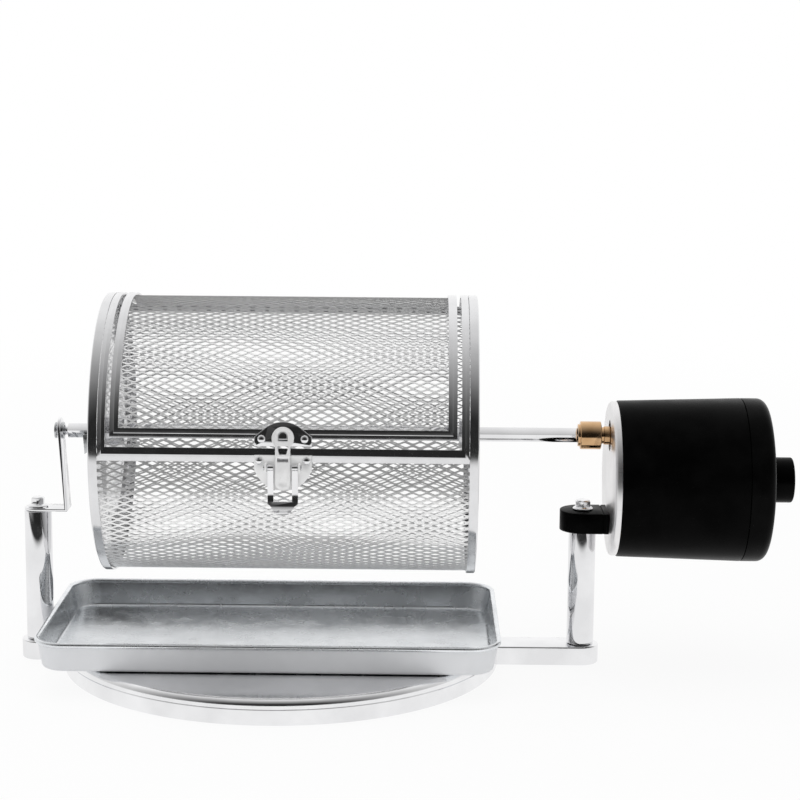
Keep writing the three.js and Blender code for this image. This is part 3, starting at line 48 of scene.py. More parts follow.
# Floor and light. In reflections the floor ends in the dark in front, and the studio's light goes by how far
# a ray points back.
FLOOR_RADIUS = 6.0
FLOOR_FADE = (0.4, 1.4, 0.9)  # from and to which distance it fades to white, and the share it starts with
FLOOR_FRONT = (-0.9, -0.45)  # from and to which place in front it goes from dark to light in reflections
FLOOR_LIGHT = (0.03, 0.92)  # the light at those two places
FLOOR_COLOUR = (0.93, 0.93, 0.93, 1)
WHITE = (1, 1, 1, 1)
STUDIO_LIGHT = (
    (-0.92, 0.02), (-0.8, 0.09), (-0.6, 0.26), (-0.3, 0.46), (0.0, 0.66), (0.35, 0.85), (0.7, 1.0),
)
SOFT_LIGHT = 0.7
LAMPS = {  # place, what it points at, side and power
    "overhead_lamp": ((-0.1, 0.1, 1.3), (0.05, 0, 0.1), 1.2, 5.0),
    "left_lamp": ((-1.1, -0.5, 0.8), (0, 0, 0.1), 0.8, 1.6),
}

# Edges, smoothing and the relief of the finishes
EDGE = 0.4 * MM
EDGE_SHOULDER = 0.3  # where the middle of a rounded edge lies, as a share of its radius
PIECE_EDGE = 0.25 * MM
SHEET_EDGE = 0.2 * MM
FINE_EDGE = 0.12 * MM
SHARP = radians(40)
GRAIN_HEIGHT = 0.02 * MM
SPECKLE_HEIGHT = 0.05 * MM

# Drum
AXIS_HEIGHT = 126.3 * MM
CAP_SIDES = 160
CAP_SHEET = 1.0 * MM
CAP_SKIRT = 4.8 * MM
CAP_EDGE = 0.9 * MM
CAP_RIB_RADIUS = 46.0 * MM
CAP_RIB_WIDTH = 6.0 * MM
CAP_RIB_DEPTH = 1.2 * MM
CAP_RIB_SHOULDER = (0.3, 0.8)  # at this share of the rib's width it has this share of its depth
CAP_MIDDLE = 6.0 * MM
CAP_HUB = (8.0 * MM, 8.0 * MM)  # radius, length
STRAND_WIDTH = 0.85 * MM
STRAND_SHEET = 0.35 * MM
STRAND_TILT = radians(-17)
STRAND_FLAT = 1.2 * MM
STRAND_MEETING = 0.94  # the share of a strand's height that lies beside its neighbour's where they meet
DIAMOND_HEIGHT = 4.1 * MM
DIAMOND_LENGTH = 8.2 * MM
DOOR_DIAMOND_LENGTH = 0.94 * DIAMOND_LENGTH
BAND_SHEET = 1.2 * MM
BEAD_HALF = 0.3 * MM
BEAD_RISE = 0.15 * MM
BAND_BEVEL = 0.35 * MM
BAND_CUTS = 64
BODY_BAND = 3.9 * MM
DOOR_BAND = 4.5 * MM

# The frames' bars and the mesh's edge, as angles round the drum's axis from the front over the top
BODY_BAR = (radians(-1.3), radians(4.1))
BODY_BACK_BAR = (radians(120.1), radians(125.9))
DOOR_BAR = (radians(7.8), radians(11.5))
DOOR_BACK_BAR = (radians(113), radians(118.5))
BODY_MESH_EDGE = radians(7.2)

# Latch, its places as distances in front of the drum's axis and heights over it
LINK_SHEET = 1.0 * MM
LINK_LEAN = radians(9.72)
LINK_OUT = 77.1 * MM  # how far from the axis the plane of the leaning head passes
LINK_FOLD = 8.2 * MM
LINK_BEND = (77.9 * MM, 3.0 * MM)  # distance, height
LINK_HEAD = (5.65 * MM, 10.9 * MM)  # radius, height
LINK_TONGUE = (3.8 * MM, -15.4 * MM)  # radius, height of the end
LINK_ARCH = (2.5 * MM, 9.45 * MM, 11.85 * MM)  # radius, height of the foot and of the arch's centre
LINK_NECK = (3.6 * MM, 5.8 * MM, 2.7 * MM, 7.0 * MM)  # width below and above, height of the foot and the top
LINK_SLOT = (2.8 * MM, 1.1 * MM)  # half width, half height
LINK_GROOVE = (4.45 * MM, 0.28 * MM)  # radius, depth
LINK_DIMPLE = (6.0 * MM, 0.35 * MM)  # radius, depth
LATCH_CUT = (60 * MM, 95 * MM)  # the distances between which cuts run
LATCH_BASE_BACK = 75.4 * MM

# Base
BAR_EDGE = 0.7 * MM
SCREW_RADIUS = 2.5 * MM
SCREW_TIP = 0.5 * MM
SCREW_BORE = 2.8 * MM
POST_BORE = 12.2 * MM
BOLT_HEAD = 6.0 * MM
BOLT_FLANGE = (5.5 * MM, 1.6 * MM)  # radius, height
BOLT_FLANGE_EDGE = 0.2 * MM
BOLT_COLLAR = MM
BOLTS = {  # width across flats, height over the flange
    "left_bracket_bolt": (6.6 * MM, 3.4 * MM),
    "motor_arm_bolt": (7.8 * MM, 3.5 * MM),
}
HEX_SEAT = 0.5 * MM
HEX_BEVEL = (0.1, 0.84)  # its height as a share of the flats, and the share of the corners left on top
DISC_BORE = 4.0 * MM
DISC_SHEET = 2.7 * MM
DISC_EDGE = 3.5 * MM
DISC_FOOT = 0.6 * MM
DISC_LINE = 8.2 * MM
DISC_LINE_CUT = (0.3 * MM, 0.25 * MM)  # half width, depth
NOTCH_PLAY = 0.3 * MM

# Motor unit
MOTOR_HEIGHT = 102.7 * MM
HOUSING_FLARE = 1.9 * MM
HOUSING_WALL = 2.0 * MM
CAP_FILLET = 5.0 * MM
SHAFT_DROP = 23.6 * MM
FACE_MIDDLE = 2.0 * MM
FACE_STEP = 0.3 * MM
FACE_CORNER = 0.2 * MM
FACE_HOLE = 8.35 * MM
BUSH_PLAY = 0.3 * MM
BUSH_EDGE = 0.3 * MM
INLET_HOLE = 5.8 * MM
INLET_CUT = (20 * MM, 60 * MM)
POT_HOLE = 3.8 * MM
CASE_SCREW_PLACE = 32.0 * MM
CASE_SCREW_TURNS = (radians(180), radians(275))
CASE_SCREW_HEAD = 3.1 * MM
CASE_SCREW_BORE = 1.8 * MM
CASE_SCREW_SINK = 1.7 * MM
CASE_SCREW_DEPTH = 3.0 * MM
KNOB_EDGE = 1.0 * MM
KNOB_DOME = 0.8 * MM
KNOB_RECESS = 3.2 * MM
KNOB_BORE = (2.6 * MM, 13.2 * MM)  # radius, depth
KNOB_CORNER = 0.2 * MM
KNOB_MIDDLE = 0.5 * MM

# Rod and coupler
ROD_BORE = 2.8 * MM
RING_EDGE = 0.2 * MM
COUPLER_COLLAR = (6.0 * MM, 1.2 * MM)  # radius, width
COUPLER_COLLAR_EDGE = 0.25 * MM
COUPLER_LENGTH = 12.6 * MM
COUPLER_EDGE = 0.7 * MM
COUPLER_WAIST = (4.5 * MM, 1.5 * MM)  # radius, width
COUPLER_NECK = 5.0 * MM
COUPLER_NECK_EDGE = 0.2 * MM
COUPLER_BORE = 4.0 * MM
COUPLER_SCREW = (1.5 * MM, 4.5 * MM)  # radius, distance from the coupler's start
COUPLER_SCREW_CUT = (5 * MM, 9 * MM)  # from and to how far below the axis

# Tray
TRAY_BEAD = 1.4 * MM
TRAY_CORNER = 17.0 * MM
TRAY_FLARE = 2.2 * MM
TRAY_FOOT = 2.5 * MM
TRAY_SHEET = 1.0 * MM
TRAY_FLAT = 3.0 * MM


# Selecting and shaping

def take(piece):
    """Selects one piece alone and makes it the active one."""
    bpy.ops.object.select_all(action="DESELECT")
    piece.select_set(True)
    bpy.context.view_layer.objects.active = piece


@contextmanager
def editing(piece, kind="VERT"):
    """Edit mode on one piece, with nothing selected."""
    take(piece)
    bpy.ops.object.mode_set(mode="EDIT")
    bpy.ops.mesh.select_mode(type=kind)
    bpy.ops.mesh.select_all(action="DESELECT")
    yield
    bpy.ops.object.mode_set(mode="OBJECT")


def pick(piece, test, kind="VERT"):
    """Selects in edit mode what passes a test: of a corner's place, an edge's two ends or a face's centre and
    normal."""
    bpy.ops.mesh.select_mode(type=kind)
    bpy.ops.mesh.select_all(action="DESELECT")
    bpy.ops.object.mode_set(mode="OBJECT")
    mesh = piece.data
    if kind == "VERT":
        for corner in mesh.vertices:
            corner.select = test(corner.co)
    elif kind == "EDGE":
        for edge in mesh.edges:
            edge.select = test(*(mesh.vertices[i].co for i in edge.vertices))
    else:
        for face in mesh.polygons:
            face.select = test(face.center, face.normal)
    bpy.ops.object.mode_set(mode="EDIT")


def place_in_mesh(piece):
    """Puts a piece's place into its mesh, with the object at the origin."""
    take(piece)
    bpy.ops.object.transform_apply(location=True, rotation=True, scale=True)
    return piece


def modify(piece, kind, **settings):
    """Adds one modifier and applies it."""
    take(piece)
    modifier = piece.modifiers.new(kind.lower(), kind)
    for name, value in settings.items():
        setattr(modifier, name, value)
    bpy.ops.object.modifier_apply(modifier=modifier.name)


def smooth(piece, angle):
    """Smooths the shading over edges that are flatter than an angle."""
    take(piece)
    bpy.ops.object.shade_smooth_by_angle(angle=angle)
    return piece


def round_edges(piece, width):
    """Rounds the sharp edges and smooths the shading between them."""
    modify(
        piece, "BEVEL", width=width, segments=2, limit_method="ANGLE", angle_limit=SHARP,
        use_clamp_overlap=True,
    )
    return smooth(piece, SHARP)


def named(name):
    """Names the active object and its mesh."""
    piece = bpy.context.active_object
    piece.name = piece.data.name = name
    return piece


def tidy_faces(piece):
    """Merges doubled corners and turns all faces outwards."""
    with editing(piece):
        bpy.ops.mesh.select_all(action="SELECT")
        bpy.ops.mesh.remove_doubles(threshold=MERGE)
        bpy.ops.mesh.normals_make_consistent(inside=False)
    return piece


def turned(name, sections, place, along="X", sides=96, ring=False):
    """A turned piece: a circle extruded and scaled from section to section, each a distance and a radius."""
    here, width = sections[0]
    bpy.ops.mesh.primitive_circle_add(
        vertices=sides, radius=width, fill_type="NOTHING" if ring else "NGON", location=(0, 0, here)
    )
    piece = named(name)
    place_in_mesh(piece)
    with editing(piece):
        bpy.ops.mesh.select_all(action="SELECT")
        for there, wide in sections[1:]:
            bpy.ops.mesh.extrude_region_move(TRANSFORM_OT_translate={"value": (0, 0, there - here)})
            grow = wide / width
            bpy.ops.transform.resize(value=(grow, grow, 1), center_override=(0, 0, there))
            here, width = there, wide
    tidy_faces(piece)
    if along == "X":
        piece.rotation_euler = (0, pi / 2, 0)
    piece.location = place
    return place_in_mesh(piece)


def quarter(steps):
    """The angles of a quarter turn, in equal steps from 0."""
    return [pi / 2 / steps * step for step in range(steps + 1)]


def ends_rounded(start, end, wide, fillet=EDGE):
    """The side of a turned piece between two rounded edges."""
    near = [(start + fillet * (1 - cos(t)), wide - fillet * (1 - sin(t))) for t in quarter(3)]
    far = [(start + end - there, radius) for there, radius in reversed(near)]
    return [*near, *far]


def pulled(vector):
    """Moves what is selected in edit mode."""
    bpy.ops.transform.translate(value=vector)


def box_cutter(low, high):
    """A plain block between two corners, for cuts."""
    low, high = Vector(low), Vector(high)
    bpy.ops.mesh.primitive_cube_add(size=1, location=(low + high) / 2)
    cutter = named("cutter")
    cutter.scale = high - low
    return place_in_mesh(cutter)


def round_cutter(radius, start, end, sides=32):
    """A plain round bar between two points, for cuts."""
    start, end = Vector(start), Vector(end)
    bpy.ops.mesh.primitive_cylinder_add(vertices=sides, radius=radius, depth=(end - start).length)
    cutter = named("cutter")
    cutter.rotation_euler = (end - start).to_track_quat("Z", "Y").to_euler()
    cutter.location = (start + end) / 2
    return place_in_mesh(cutter)


def hollowed(piece, *cutters):
    """Cuts the cutters out of a piece and deletes them."""
    for cutter in cutters:
        modify(piece, "BOOLEAN", object=cutter, operation="DIFFERENCE", solver="EXACT")
        bpy.data.objects.remove(cutter)
    return tidy_faces(piece)


def joined(piece, *others):
    """Melts other closed pieces into one."""
    for other in others:
        modify(piece, "BOOLEAN", object=other, operation="UNION", solver="EXACT")
        bpy.data.objects.remove(other)
    return tidy_faces(piece)


# Finishes

def group(name, inputs, outputs):
    """A shader node group with named inputs, as name and first value, and named outputs, as name and kind."""
    tree = bpy.data.node_groups.new(name, "ShaderNodeTree")
    for label, value in inputs:
        kind = "NodeSocketVector" if isinstance(value, tuple) else "NodeSocketFloat"
        tree.interface.new_socket(label, in_out="INPUT", socket_type=kind).default_value = value
    for label, kind in outputs:
        tree.interface.new_socket(label, in_out="OUTPUT", socket_type=kind)
    return tree, tree.nodes.new("NodeGroupInput").outputs, tree.nodes.new("NodeGroupOutput").inputs


def node(tree, kind, links=(), **values):
    """A node with its values set and its inputs linked, each link as input name or number and source."""
    made = tree.nodes.new("ShaderNode" + kind)
    for name, value in values.items():
        setattr(made, name, value)
    for label, source in dict(links).items():
        if isinstance(source, bpy.types.NodeSocket):
            tree.links.new(source, made.inputs[label])
        else:
            made.inputs[label].default_value = source
    return made


def mottle_group():
    """Soft cloudy change between two values, as handling and polishing leave."""
    tree, given, out = group(
        "mottle", [("Scale", 40.0), ("Low", 0.0), ("High", 1.0)], [("Value", "NodeSocketFloat")]
    )
    place = node(tree, "TexCoord").outputs["Object"]
    cloud = node(
        tree, "TexNoise", {"Vector": place, "Scale": given["Scale"], "Detail": 3.0, "Roughness": 0.55}
    )
    spread = node(
        tree, "MapRange",
        {"Value": cloud.outputs["Fac"], "From Min": 0.35, "From Max": 0.65, "To Min": given["Low"],
         "To Max": given["High"]},
    )
    tree.links.new(spread.outputs["Result"], out["Value"])
    return tree


def grain_group():
    """Fine lines drawn along a surface: the stretch is how fast they change along X, Y and Z."""
    tree, given, out = group(
        "grain",
        [("Stretch", (1.0, 1.0, 1.0)), ("Low", 0.0), ("High", 1.0), ("Depth", 0.1)],
        [("Value", "NodeSocketFloat"), ("Normal", "NodeSocketVector")],
    )
    place = node(tree, "TexCoord").outputs["Object"]
    drawn = node(tree, "VectorMath", {0: place, 1: given["Stretch"]}, operation="MULTIPLY")
    lines = node(
        tree, "TexNoise", {"Vector": drawn.outputs[0], "Scale": 1.0, "Detail": 5.0, "Roughness": 0.6}
    )
    spread = node(
        tree, "MapRange",
        {"Value": lines.outputs["Fac"], "From Min": 0.3, "From Max": 0.7, "To Min": given["Low"],
         "To Max": given["High"]},
    )
    bump = node(
        tree, "Bump",
        {"Height": lines.outputs["Fac"], "Strength": given["Depth"], "Distance": GRAIN_HEIGHT},
    )
    tree.links.new(spread.outputs["Result"], out["Value"])
    tree.links.new(bump.outputs["Normal"], out["Normal"])
    return tree


def speckle_group():
    """The fine orange peel of a coat of powder or of moulded plastic."""
    tree, given, out = group("speckle", [("Scale", 900.0), ("Depth", 0.1)], [("Normal", "NodeSocketVector")])
    place = node(tree, "TexCoord").outputs["Object"]
    dots = node(tree, "TexNoise", {"Vector": place, "Scale": given["Scale"], "Detail": 2.0, "Roughness": 0.5})
    bump = node(
        tree, "Bump",
        {"Height": dots.outputs["Fac"], "Strength": given["Depth"], "Distance": SPECKLE_HEIGHT},
    )
    tree.links.new(bump.outputs["Normal"], out["Normal"])
    return tree


def material(name, **sockets):
    """A material with one Principled shader, its plain values set on its own sockets."""
    made = bpy.data.materials.new(name)
    made.use_nodes = True
    shader = made.node_tree.nodes["Principled BSDF"]
    for label, value in sockets.items():
        shader.inputs[label.replace("_", " ").title().replace("Ior", "IOR")].default_value = value
    return made, made.node_tree, shader.inputs


def effect(tree, kind, **values):
    """Places a shared effect in a material with this material's own values."""
    made = tree.nodes.new("ShaderNodeGroup")
    made.node_tree = GROUPS[kind]
    for label, value in values.items():
        made.inputs[label.title()].default_value = value
    return made.outputs


def shade(tree, mask, dark, light, target):
    """Runs a colour from dark to light by a mask into a shader input."""
    ramp = node(tree, "Mix", {"Factor": mask}, data_type="RGBA")
    for socket, colour in zip([s for s in ramp.inputs if s.type == "RGBA"], (dark, light)):
        socket.default_value = (*colour, 1)
    tree.links.new([s for s in ramp.outputs if s.type == "RGBA"][0], target)


def metal(name, dark, light, rough, cloud=35.0, stretch=None, depth=0.06, bare=1.0):
    """A metal with a cloudy colour and a cloudy or drawn roughness. One that isn't all bare looks frosted and
    lighter, which paints brightness on the pieces that wear it.
    """
    made, tree, shader = material(name, metallic=bare)
    clouds = effect(tree, "mottle", scale=cloud, low=0.0, high=1.0)
    shade(tree, clouds["Value"], dark, light, shader["Base Color"])
    if stretch is None:
        rubbed = effect(tree, "mottle", scale=cloud * 3, low=rough[0], high=rough[1])
        tree.links.new(rubbed["Value"], shader["Roughness"])
    else:
        drawn = effect(tree, "grain", stretch=stretch, low=rough[0], high=rough[1], depth=depth)
        tree.links.new(drawn["Value"], shader["Roughness"])
        tree.links.new(drawn["Normal"], shader["Normal"])
    return made


def moulded(name, dark, light, rough, speckle=900.0, depth=0.12, gloss=0.5):
    """A plastic or a powder coat with a cloudy colour and a fine speckle."""
    made, tree, shader = material(name, metallic=0.0)
    shader["Specular IOR Level"].default_value = gloss
    clouds = effect(tree, "mottle", scale=60.0, low=0.0, high=1.0)
    shade(tree, clouds["Value"], dark, light, shader["Base Color"])
    rubbed = effect(tree, "mottle", scale=90.0, low=rough[0], high=rough[1])
    tree.links.new(rubbed["Value"], shader["Roughness"])
    dots = effect(tree, "speckle", scale=speckle, depth=depth)
    tree.links.new(dots["Normal"], shader["Normal"])
    return made


def make_finishes():
    """Every finish, by its name: the record's material slots, and some that only a few pieces wear."""
    along_the_rod = (60.0, 5000.0, 5000.0)
    turned_marks = (7000.0, 150.0, 150.0)
    return {
        "chrome": metal("chrome", (0.82, 0.82, 0.83), (0.92, 0.92, 0.93), (0.03, 0.1)),
        "polished_disc": metal("polished_disc", (0.84, 0.84, 0.85), (0.94, 0.94, 0.95), (0.08, 0.16)),
        # Near-white and mostly not metallic: painted brightness that stands in for the strong light on the
        # latch's link and base plate
        "latch_painted_bright": metal(
            "latch_painted_bright", (0.94, 0.94, 0.94), (0.98, 0.98, 0.98), (0.3, 0.4), cloud=200.0, bare=0.2
        ),
        # Near-white and partly not metallic: painted brightness on the mesh's strands, beside the real
        # reflections that they catch
        "mesh_painted_bright": metal(
            "mesh_painted_bright", (0.93, 0.93, 0.93), (0.98, 0.98, 0.98), (0.16, 0.26), cloud=220.0, bare=0.65
        ),
        "stainless": metal("stainless", (0.84, 0.84, 0.85), (0.95, 0.95, 0.96), (0.12, 0.24), cloud=220.0),
        "brushed_steel": metal(
            "brushed_steel", (0.76, 0.76, 0.77), (0.83, 0.83, 0.84), (0.09, 0.14), cloud=60.0
        ),
        "tray_steel": metal("tray_steel", (0.66, 0.68, 0.7), (0.78, 0.8, 0.82), (0.2, 0.3), cloud=25.0),
        # A lighter, frosted copy of the tray steel for the walls' outer faces: painted brightness where light
        # falls on them
        "tray_outside_painted_bright": metal(
            "tray_outside_painted_bright", (0.8, 0.81, 0.83), (0.88, 0.89, 0.91), (0.42, 0.54), cloud=25.0, bare=0.2
        ),
        # A lighter copy of the tray steel for the rolled rim: a painted highlight, beside the real one on its
        # round bead
        "tray_rim_painted_highlight": metal("tray_rim_painted_highlight", (0.74, 0.76, 0.78), (0.88, 0.9, 0.92), (0.2, 0.32), cloud=60.0),
        "black_coat": moulded(
            "black_coat", (0.001, 0.001, 0.001), (0.0025, 0.0025, 0.0025), (0.26, 0.34), gloss=0.02
        ),
        "black_plastic": moulded(
            "black_plastic", (0.001, 0.001, 0.001), (0.003, 0.003, 0.003), (0.24, 0.32), gloss=0.03
        ),
        "satin_aluminium": metal(
            "satin_aluminium", (0.82, 0.81, 0.81), (0.92, 0.91, 0.91), (0.26, 0.4), stretch=along_the_rod
        ),
        "brass": metal("brass", (0.5, 0.3, 0.14), (0.82, 0.55, 0.32), (0.06, 0.16), stretch=turned_marks),
        "steel": metal("steel", (0.46, 0.47, 0.48), (0.64, 0.65, 0.66), (0.18, 0.34), cloud=120.0),
        "grey_plastic": moulded("grey_plastic", (0.2, 0.21, 0.22), (0.3, 0.31, 0.32), (0.4, 0.5)),
        "gear_plastic": moulded("gear_plastic", (0.78, 0.75, 0.66), (0.9, 0.88, 0.8), (0.36, 0.46)),
        "circuit_board": moulded("circuit_board", (0.02, 0.11, 0.05), (0.04, 0.17, 0.08), (0.3, 0.42)),
    }


# Putting pieces in the frame

def dress(piece, body, slot, *stands_for, finish=None):
    """Gives a piece its body, its finish, which is its material slot's own unless another is named, and the
    nodes that it stands for.
    """
    piece.data.materials.clear()
    piece.data.materials.append(finishes[finish or slot])
    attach(piece, body)
    if stands_for:
        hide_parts(*stands_for)
    done.update(stands_for)


def solid_copy(name, new_name):
    """A merged copy of a solid, with its flat faces whole."""
    piece = bpy.data.objects.new(new_name, frame["nodes"][name].data.copy())
    bpy.context.scene.collection.objects.link(piece)
    with editing(piece):
        bpy.ops.mesh.select_all(action="SELECT")
        bpy.ops.mesh.remove_doubles(threshold=MERGE)
        bpy.ops.mesh.dissolve_limited(angle_limit=radians(0.5))
    return piece


def worked(name):
    """A solid's copy with rounded edges, standing for it."""
    piece = solid_copy(name, name + "_piece")
    round_edges(piece, PIECE_EDGE)
    dress(piece, body_of[name], slot_of[name], name)


def stand_for(name, piece, finish=None):
    """Puts a new piece in the place of a solid, on its body and in its own finish or the solid's."""
    smooth(piece, radians(35))
    dress(piece, body_of[name], slot_of[name], name, finish=finish)


# Drum

def drum_place(piece):
    """Lifts a piece that was modelled round the X axis to the drum's axis."""
    piece.location = (0, 0, AXIS_HEIGHT)
    return place_in_mesh(piece)


def strand_row(name, columns, length, swing, radius):
    """One strand of expanded metal, of short flats and slanting legs, along the top of the drum."""
    bpy.ops.mesh.primitive_plane_add(size=1, rotation=(0, pi / 2, 0))
    piece = named(name)
    piece.scale = (STRAND_SHEET, STRAND_WIDTH, 1)
    place_in_mesh(piece)
    piece.rotation_euler = (STRAND_TILT, 0, 0)
    leg = length / 2 - STRAND_FLAT
    piece.location = (-STRAND_FLAT / 2, swing, radius)
    place_in_mesh(piece)
    with editing(piece):
        bpy.ops.mesh.select_all(action="SELECT")
        for step in ((STRAND_FLAT, 0), (leg, -2 * swing), (STRAND_FLAT, 0), (leg, 2 * swing)):
            bpy.ops.mesh.extrude_region_move(TRANSFORM_OT_translate={"value": (*step, 0)})
        pick(piece, lambda centre, normal: abs(normal.x) > 0.99, "FACE")
        bpy.ops.mesh.delete(type="ONLY_FACE")
    modify(
        piece, "ARRAY", count=columns, use_relative_offset=False, use_constant_offset=True,
        constant_offset_displace=(length, 0, 0), use_merge_vertices=True, merge_threshold=NEAR,
    )
    return piece


def expanded_sheet(name, half_length, columns, angle_from, angle_to, radius):
    """Expanded metal from one angle to another round the drum's axis, counted from the front over the top.
    Two strands, side by side and half a diamond apart, are repeated round the axis."""
    length = 2 * half_length / columns
    turn = angle_to - angle_from
    rows = round(turn * radius / DIAMOND_HEIGHT)
    pitch = turn / rows
    strand_height = STRAND_WIDTH * cos(STRAND_TILT) + STRAND_SHEET * sin(abs(STRAND_TILT))
    swing = (pitch * radius / 2 - STRAND_MEETING * strand_height) / 2
    piece = strand_row(name, columns + 2, length, swing, radius)
    piece.location = (-half_length - length, 0, 0)
    place_in_mesh(piece)
    second = piece.copy()
    second.data = piece.data.copy()
    bpy.context.scene.collection.objects.link(second)
    second.rotation_euler = (-pitch / 2, 0, 0)
    second.location = (length / 2, 0, 0)
    place_in_mesh(second)
    take(piece)
    second.select_set(True)
    bpy.ops.object.join()
    with editing(piece):
        for edge, outwards in ((-half_length, -1), (half_length, 1)):
            bpy.ops.mesh.select_all(action="SELECT")
            bpy.ops.mesh.bisect(
                plane_co=(edge, 0, 0), plane_no=(outwards, 0, 0), use_fill=True, clear_outer=True
            )
    helper = bpy.data.objects.new("turning_step", None)
    bpy.context.scene.collection.objects.link(helper)
    helper.rotation_euler = (-pitch, 0, 0)
    bpy.context.view_layer.update()
    modify(
        piece, "ARRAY", count=rows, use_relative_offset=False, use_object_offset=True, offset_object=helper
    )
    bpy.data.objects.remove(helper)
    piece.rotation_euler = (pi / 2 - angle_from - pitch / 4, 0, 0)
    place_in_mesh(piece)
    tidy_faces(piece)
    drum_place(piece)
    return smooth(piece, radians(50))


def drum_mesh():
    """The drum's own mesh, from the back of the door opening round the bottom to its front."""
    low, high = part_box("drum_mesh")
    radius = high.y - STRAND_SHEET
    columns = round(2 * high.x / DIAMOND_LENGTH)
    back = BODY_BACK_BAR[0] - 2 * pi
    piece = expanded_sheet("drum_net", high.x, columns, back, BODY_MESH_EDGE, radius)
    # The mesh wears a lighter copy of the stainless that paints brightness on its strands
    dress(piece, "drum", "stainless", "drum_mesh", finish="mesh_painted_bright")


def door_mesh():
    """The door's mesh, from its front bar to its back bar."""
    low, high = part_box("door_mesh")
    radius = high.z - AXIS_HEIGHT - STRAND_SHEET
    columns = round(2 * high.x / DOOR_DIAMOND_LENGTH)
    piece = expanded_sheet("door_net", high.x, columns, DOOR_BAR[0], DOOR_BACK_BAR[1], radius)
    # The mesh wears a lighter copy of the stainless that paints brightness on its strands
    dress(piece, "door", "stainless", "door_mesh", finish="mesh_painted_bright")


def curved_frame(name, half_length, band, front_bar, back_bar, outer):
    """A frame of flat bars with mitred corners and a low bead along their middle, bent round the drum's axis.
    The side bars are as wide as the band, and the front and back bars reach between their two angles."""
    low, high = outer * front_bar[0], outer * back_bar[1]
    bpy.ops.mesh.primitive_plane_add(size=1, rotation=(pi / 2, 0, 0), location=(0, 0, (low + high) / 2))
    piece = named(name)
    piece.scale = (2 * half_length, high - low, 1)
    place_in_mesh(piece)
    front = outer * (front_bar[1] - front_bar[0])
    back = outer * (back_bar[1] - back_bar[0])
    with editing(piece, "FACE"):
        bpy.ops.mesh.select_all(action="SELECT")
        insets = (band / 2 - BEAD_HALF, band / 2, band / 2 + BEAD_HALF, band)
        for before, inset in zip((0, *insets), insets):
            bpy.ops.mesh.inset(thickness=inset - before, depth=0)
        bpy.ops.mesh.delete(type="FACE")
        for inset in insets:
            pick(piece, lambda c: abs(c.z - low - inset) < NEAR)
            pulled((0, 0, inset / band * (front - band)))
            pick(piece, lambda c: abs(high - c.z - inset) < NEAR)
            pulled((0, 0, -inset / band * (back - band)))
        pick(piece, lambda c: min(abs(c.z - low - front / 2), abs(high - c.z - back / 2)) < NEAR)
        pulled((0, -BEAD_RISE, 0))
        pick(piece, lambda a, b: abs(a.x - b.x) < NEAR and abs(a.z - b.z) > (high - low) / 2, "EDGE")
        bpy.ops.mesh.subdivide(number_cuts=BAND_CUTS)
    modify(piece, "SOLIDIFY", thickness=BAND_SHEET, offset=-1)
    modify(
        piece, "BEVEL", width=BAND_BEVEL, segments=2, limit_method="ANGLE", angle_limit=radians(50),
        use_clamp_overlap=True,
    )
    heights = [corner.co.z for corner in piece.data.vertices]
    bend = (max(heights) - min(heights)) / outer
    modify(piece, "SIMPLE_DEFORM", deform_method="BEND", deform_axis="X", angle=bend)
    piece.location = (0, -outer, AXIS_HEIGHT)
    place_in_mesh(piece)
    return smooth(tidy_faces(piece), radians(30))


def opening_frame():
    """The frame of the door opening, on the drum."""
    low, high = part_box("opening_frame")
    outer = high.z - AXIS_HEIGHT - BEAD_RISE
    piece = curved_frame("opening_frame_band", high.x, BODY_BAND, BODY_BAR, BODY_BACK_BAR, outer)
    dress(piece, "drum", "brushed_steel", "opening_frame")


def door_frame():
    """The door's own frame, within that of the opening."""
    low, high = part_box("door_frame")
    outer = high.z - AXIS_HEIGHT - BEAD_RISE
    piece = curved_frame("door_frame_band", high.x, DOOR_BAND, DOOR_BAR, DOOR_BACK_BAR, outer)
    dress(piece, "door", "brushed_steel", "door_frame")


def drum_cap(node_name, side):
    """An end cap of the drum: a pressed disc with a ring rib, a rounded edge, a skirt and a hub inside. The
    left one is modelled as the right one and mirrored."""
    low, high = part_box(node_name)
    radius = high.y
    end = high.x if side > 0 else -low.x
    rib_in, rib_out = CAP_RIB_RADIUS - CAP_RIB_WIDTH / 2, CAP_RIB_RADIUS + CAP_RIB_WIDTH / 2
    slope, depth = CAP_RIB_SHOULDER[0] * CAP_RIB_WIDTH, CAP_RIB_SHOULDER[1] * CAP_RIB_DEPTH
    hub, hub_length = CAP_HUB
    rounding = [(end - CAP_EDGE * (1 - sin(t)), radius - CAP_EDGE * (1 - cos(t))) for t in quarter(5)]
    outside = [
        (end, rib_in), (end - depth, rib_in + slope), (end - CAP_RIB_DEPTH, CAP_RIB_RADIUS),
        (end - depth, rib_out - slope), (end, rib_out),
    ]
    inside = [
        (end - CAP_SKIRT, radius - CAP_SHEET), (end - CAP_SHEET - CAP_EDGE, radius - CAP_SHEET),
        (end - CAP_SHEET, radius - CAP_SHEET - CAP_EDGE), (end - CAP_SHEET, rib_out),
        (end - CAP_RIB_DEPTH - CAP_SHEET, CAP_RIB_RADIUS), (end - CAP_SHEET, rib_in),
        (end - CAP_SHEET, hub), (end - CAP_SHEET - hub_length, hub),
    ]
    profile = [(end, CAP_MIDDLE), *outside, *reversed(rounding), (end - CAP_SKIRT, radius), *inside]
    piece = turned(node_name + "_pressing", profile, (0, 0, AXIS_HEIGHT), sides=CAP_SIDES)
    if side < 0:
        piece.scale = (-1, 1, 1)
        place_in_mesh(piece)
        tidy_faces(piece)
    smooth(piece, radians(35))
    dress(piece, "drum", "brushed_steel", node_name)


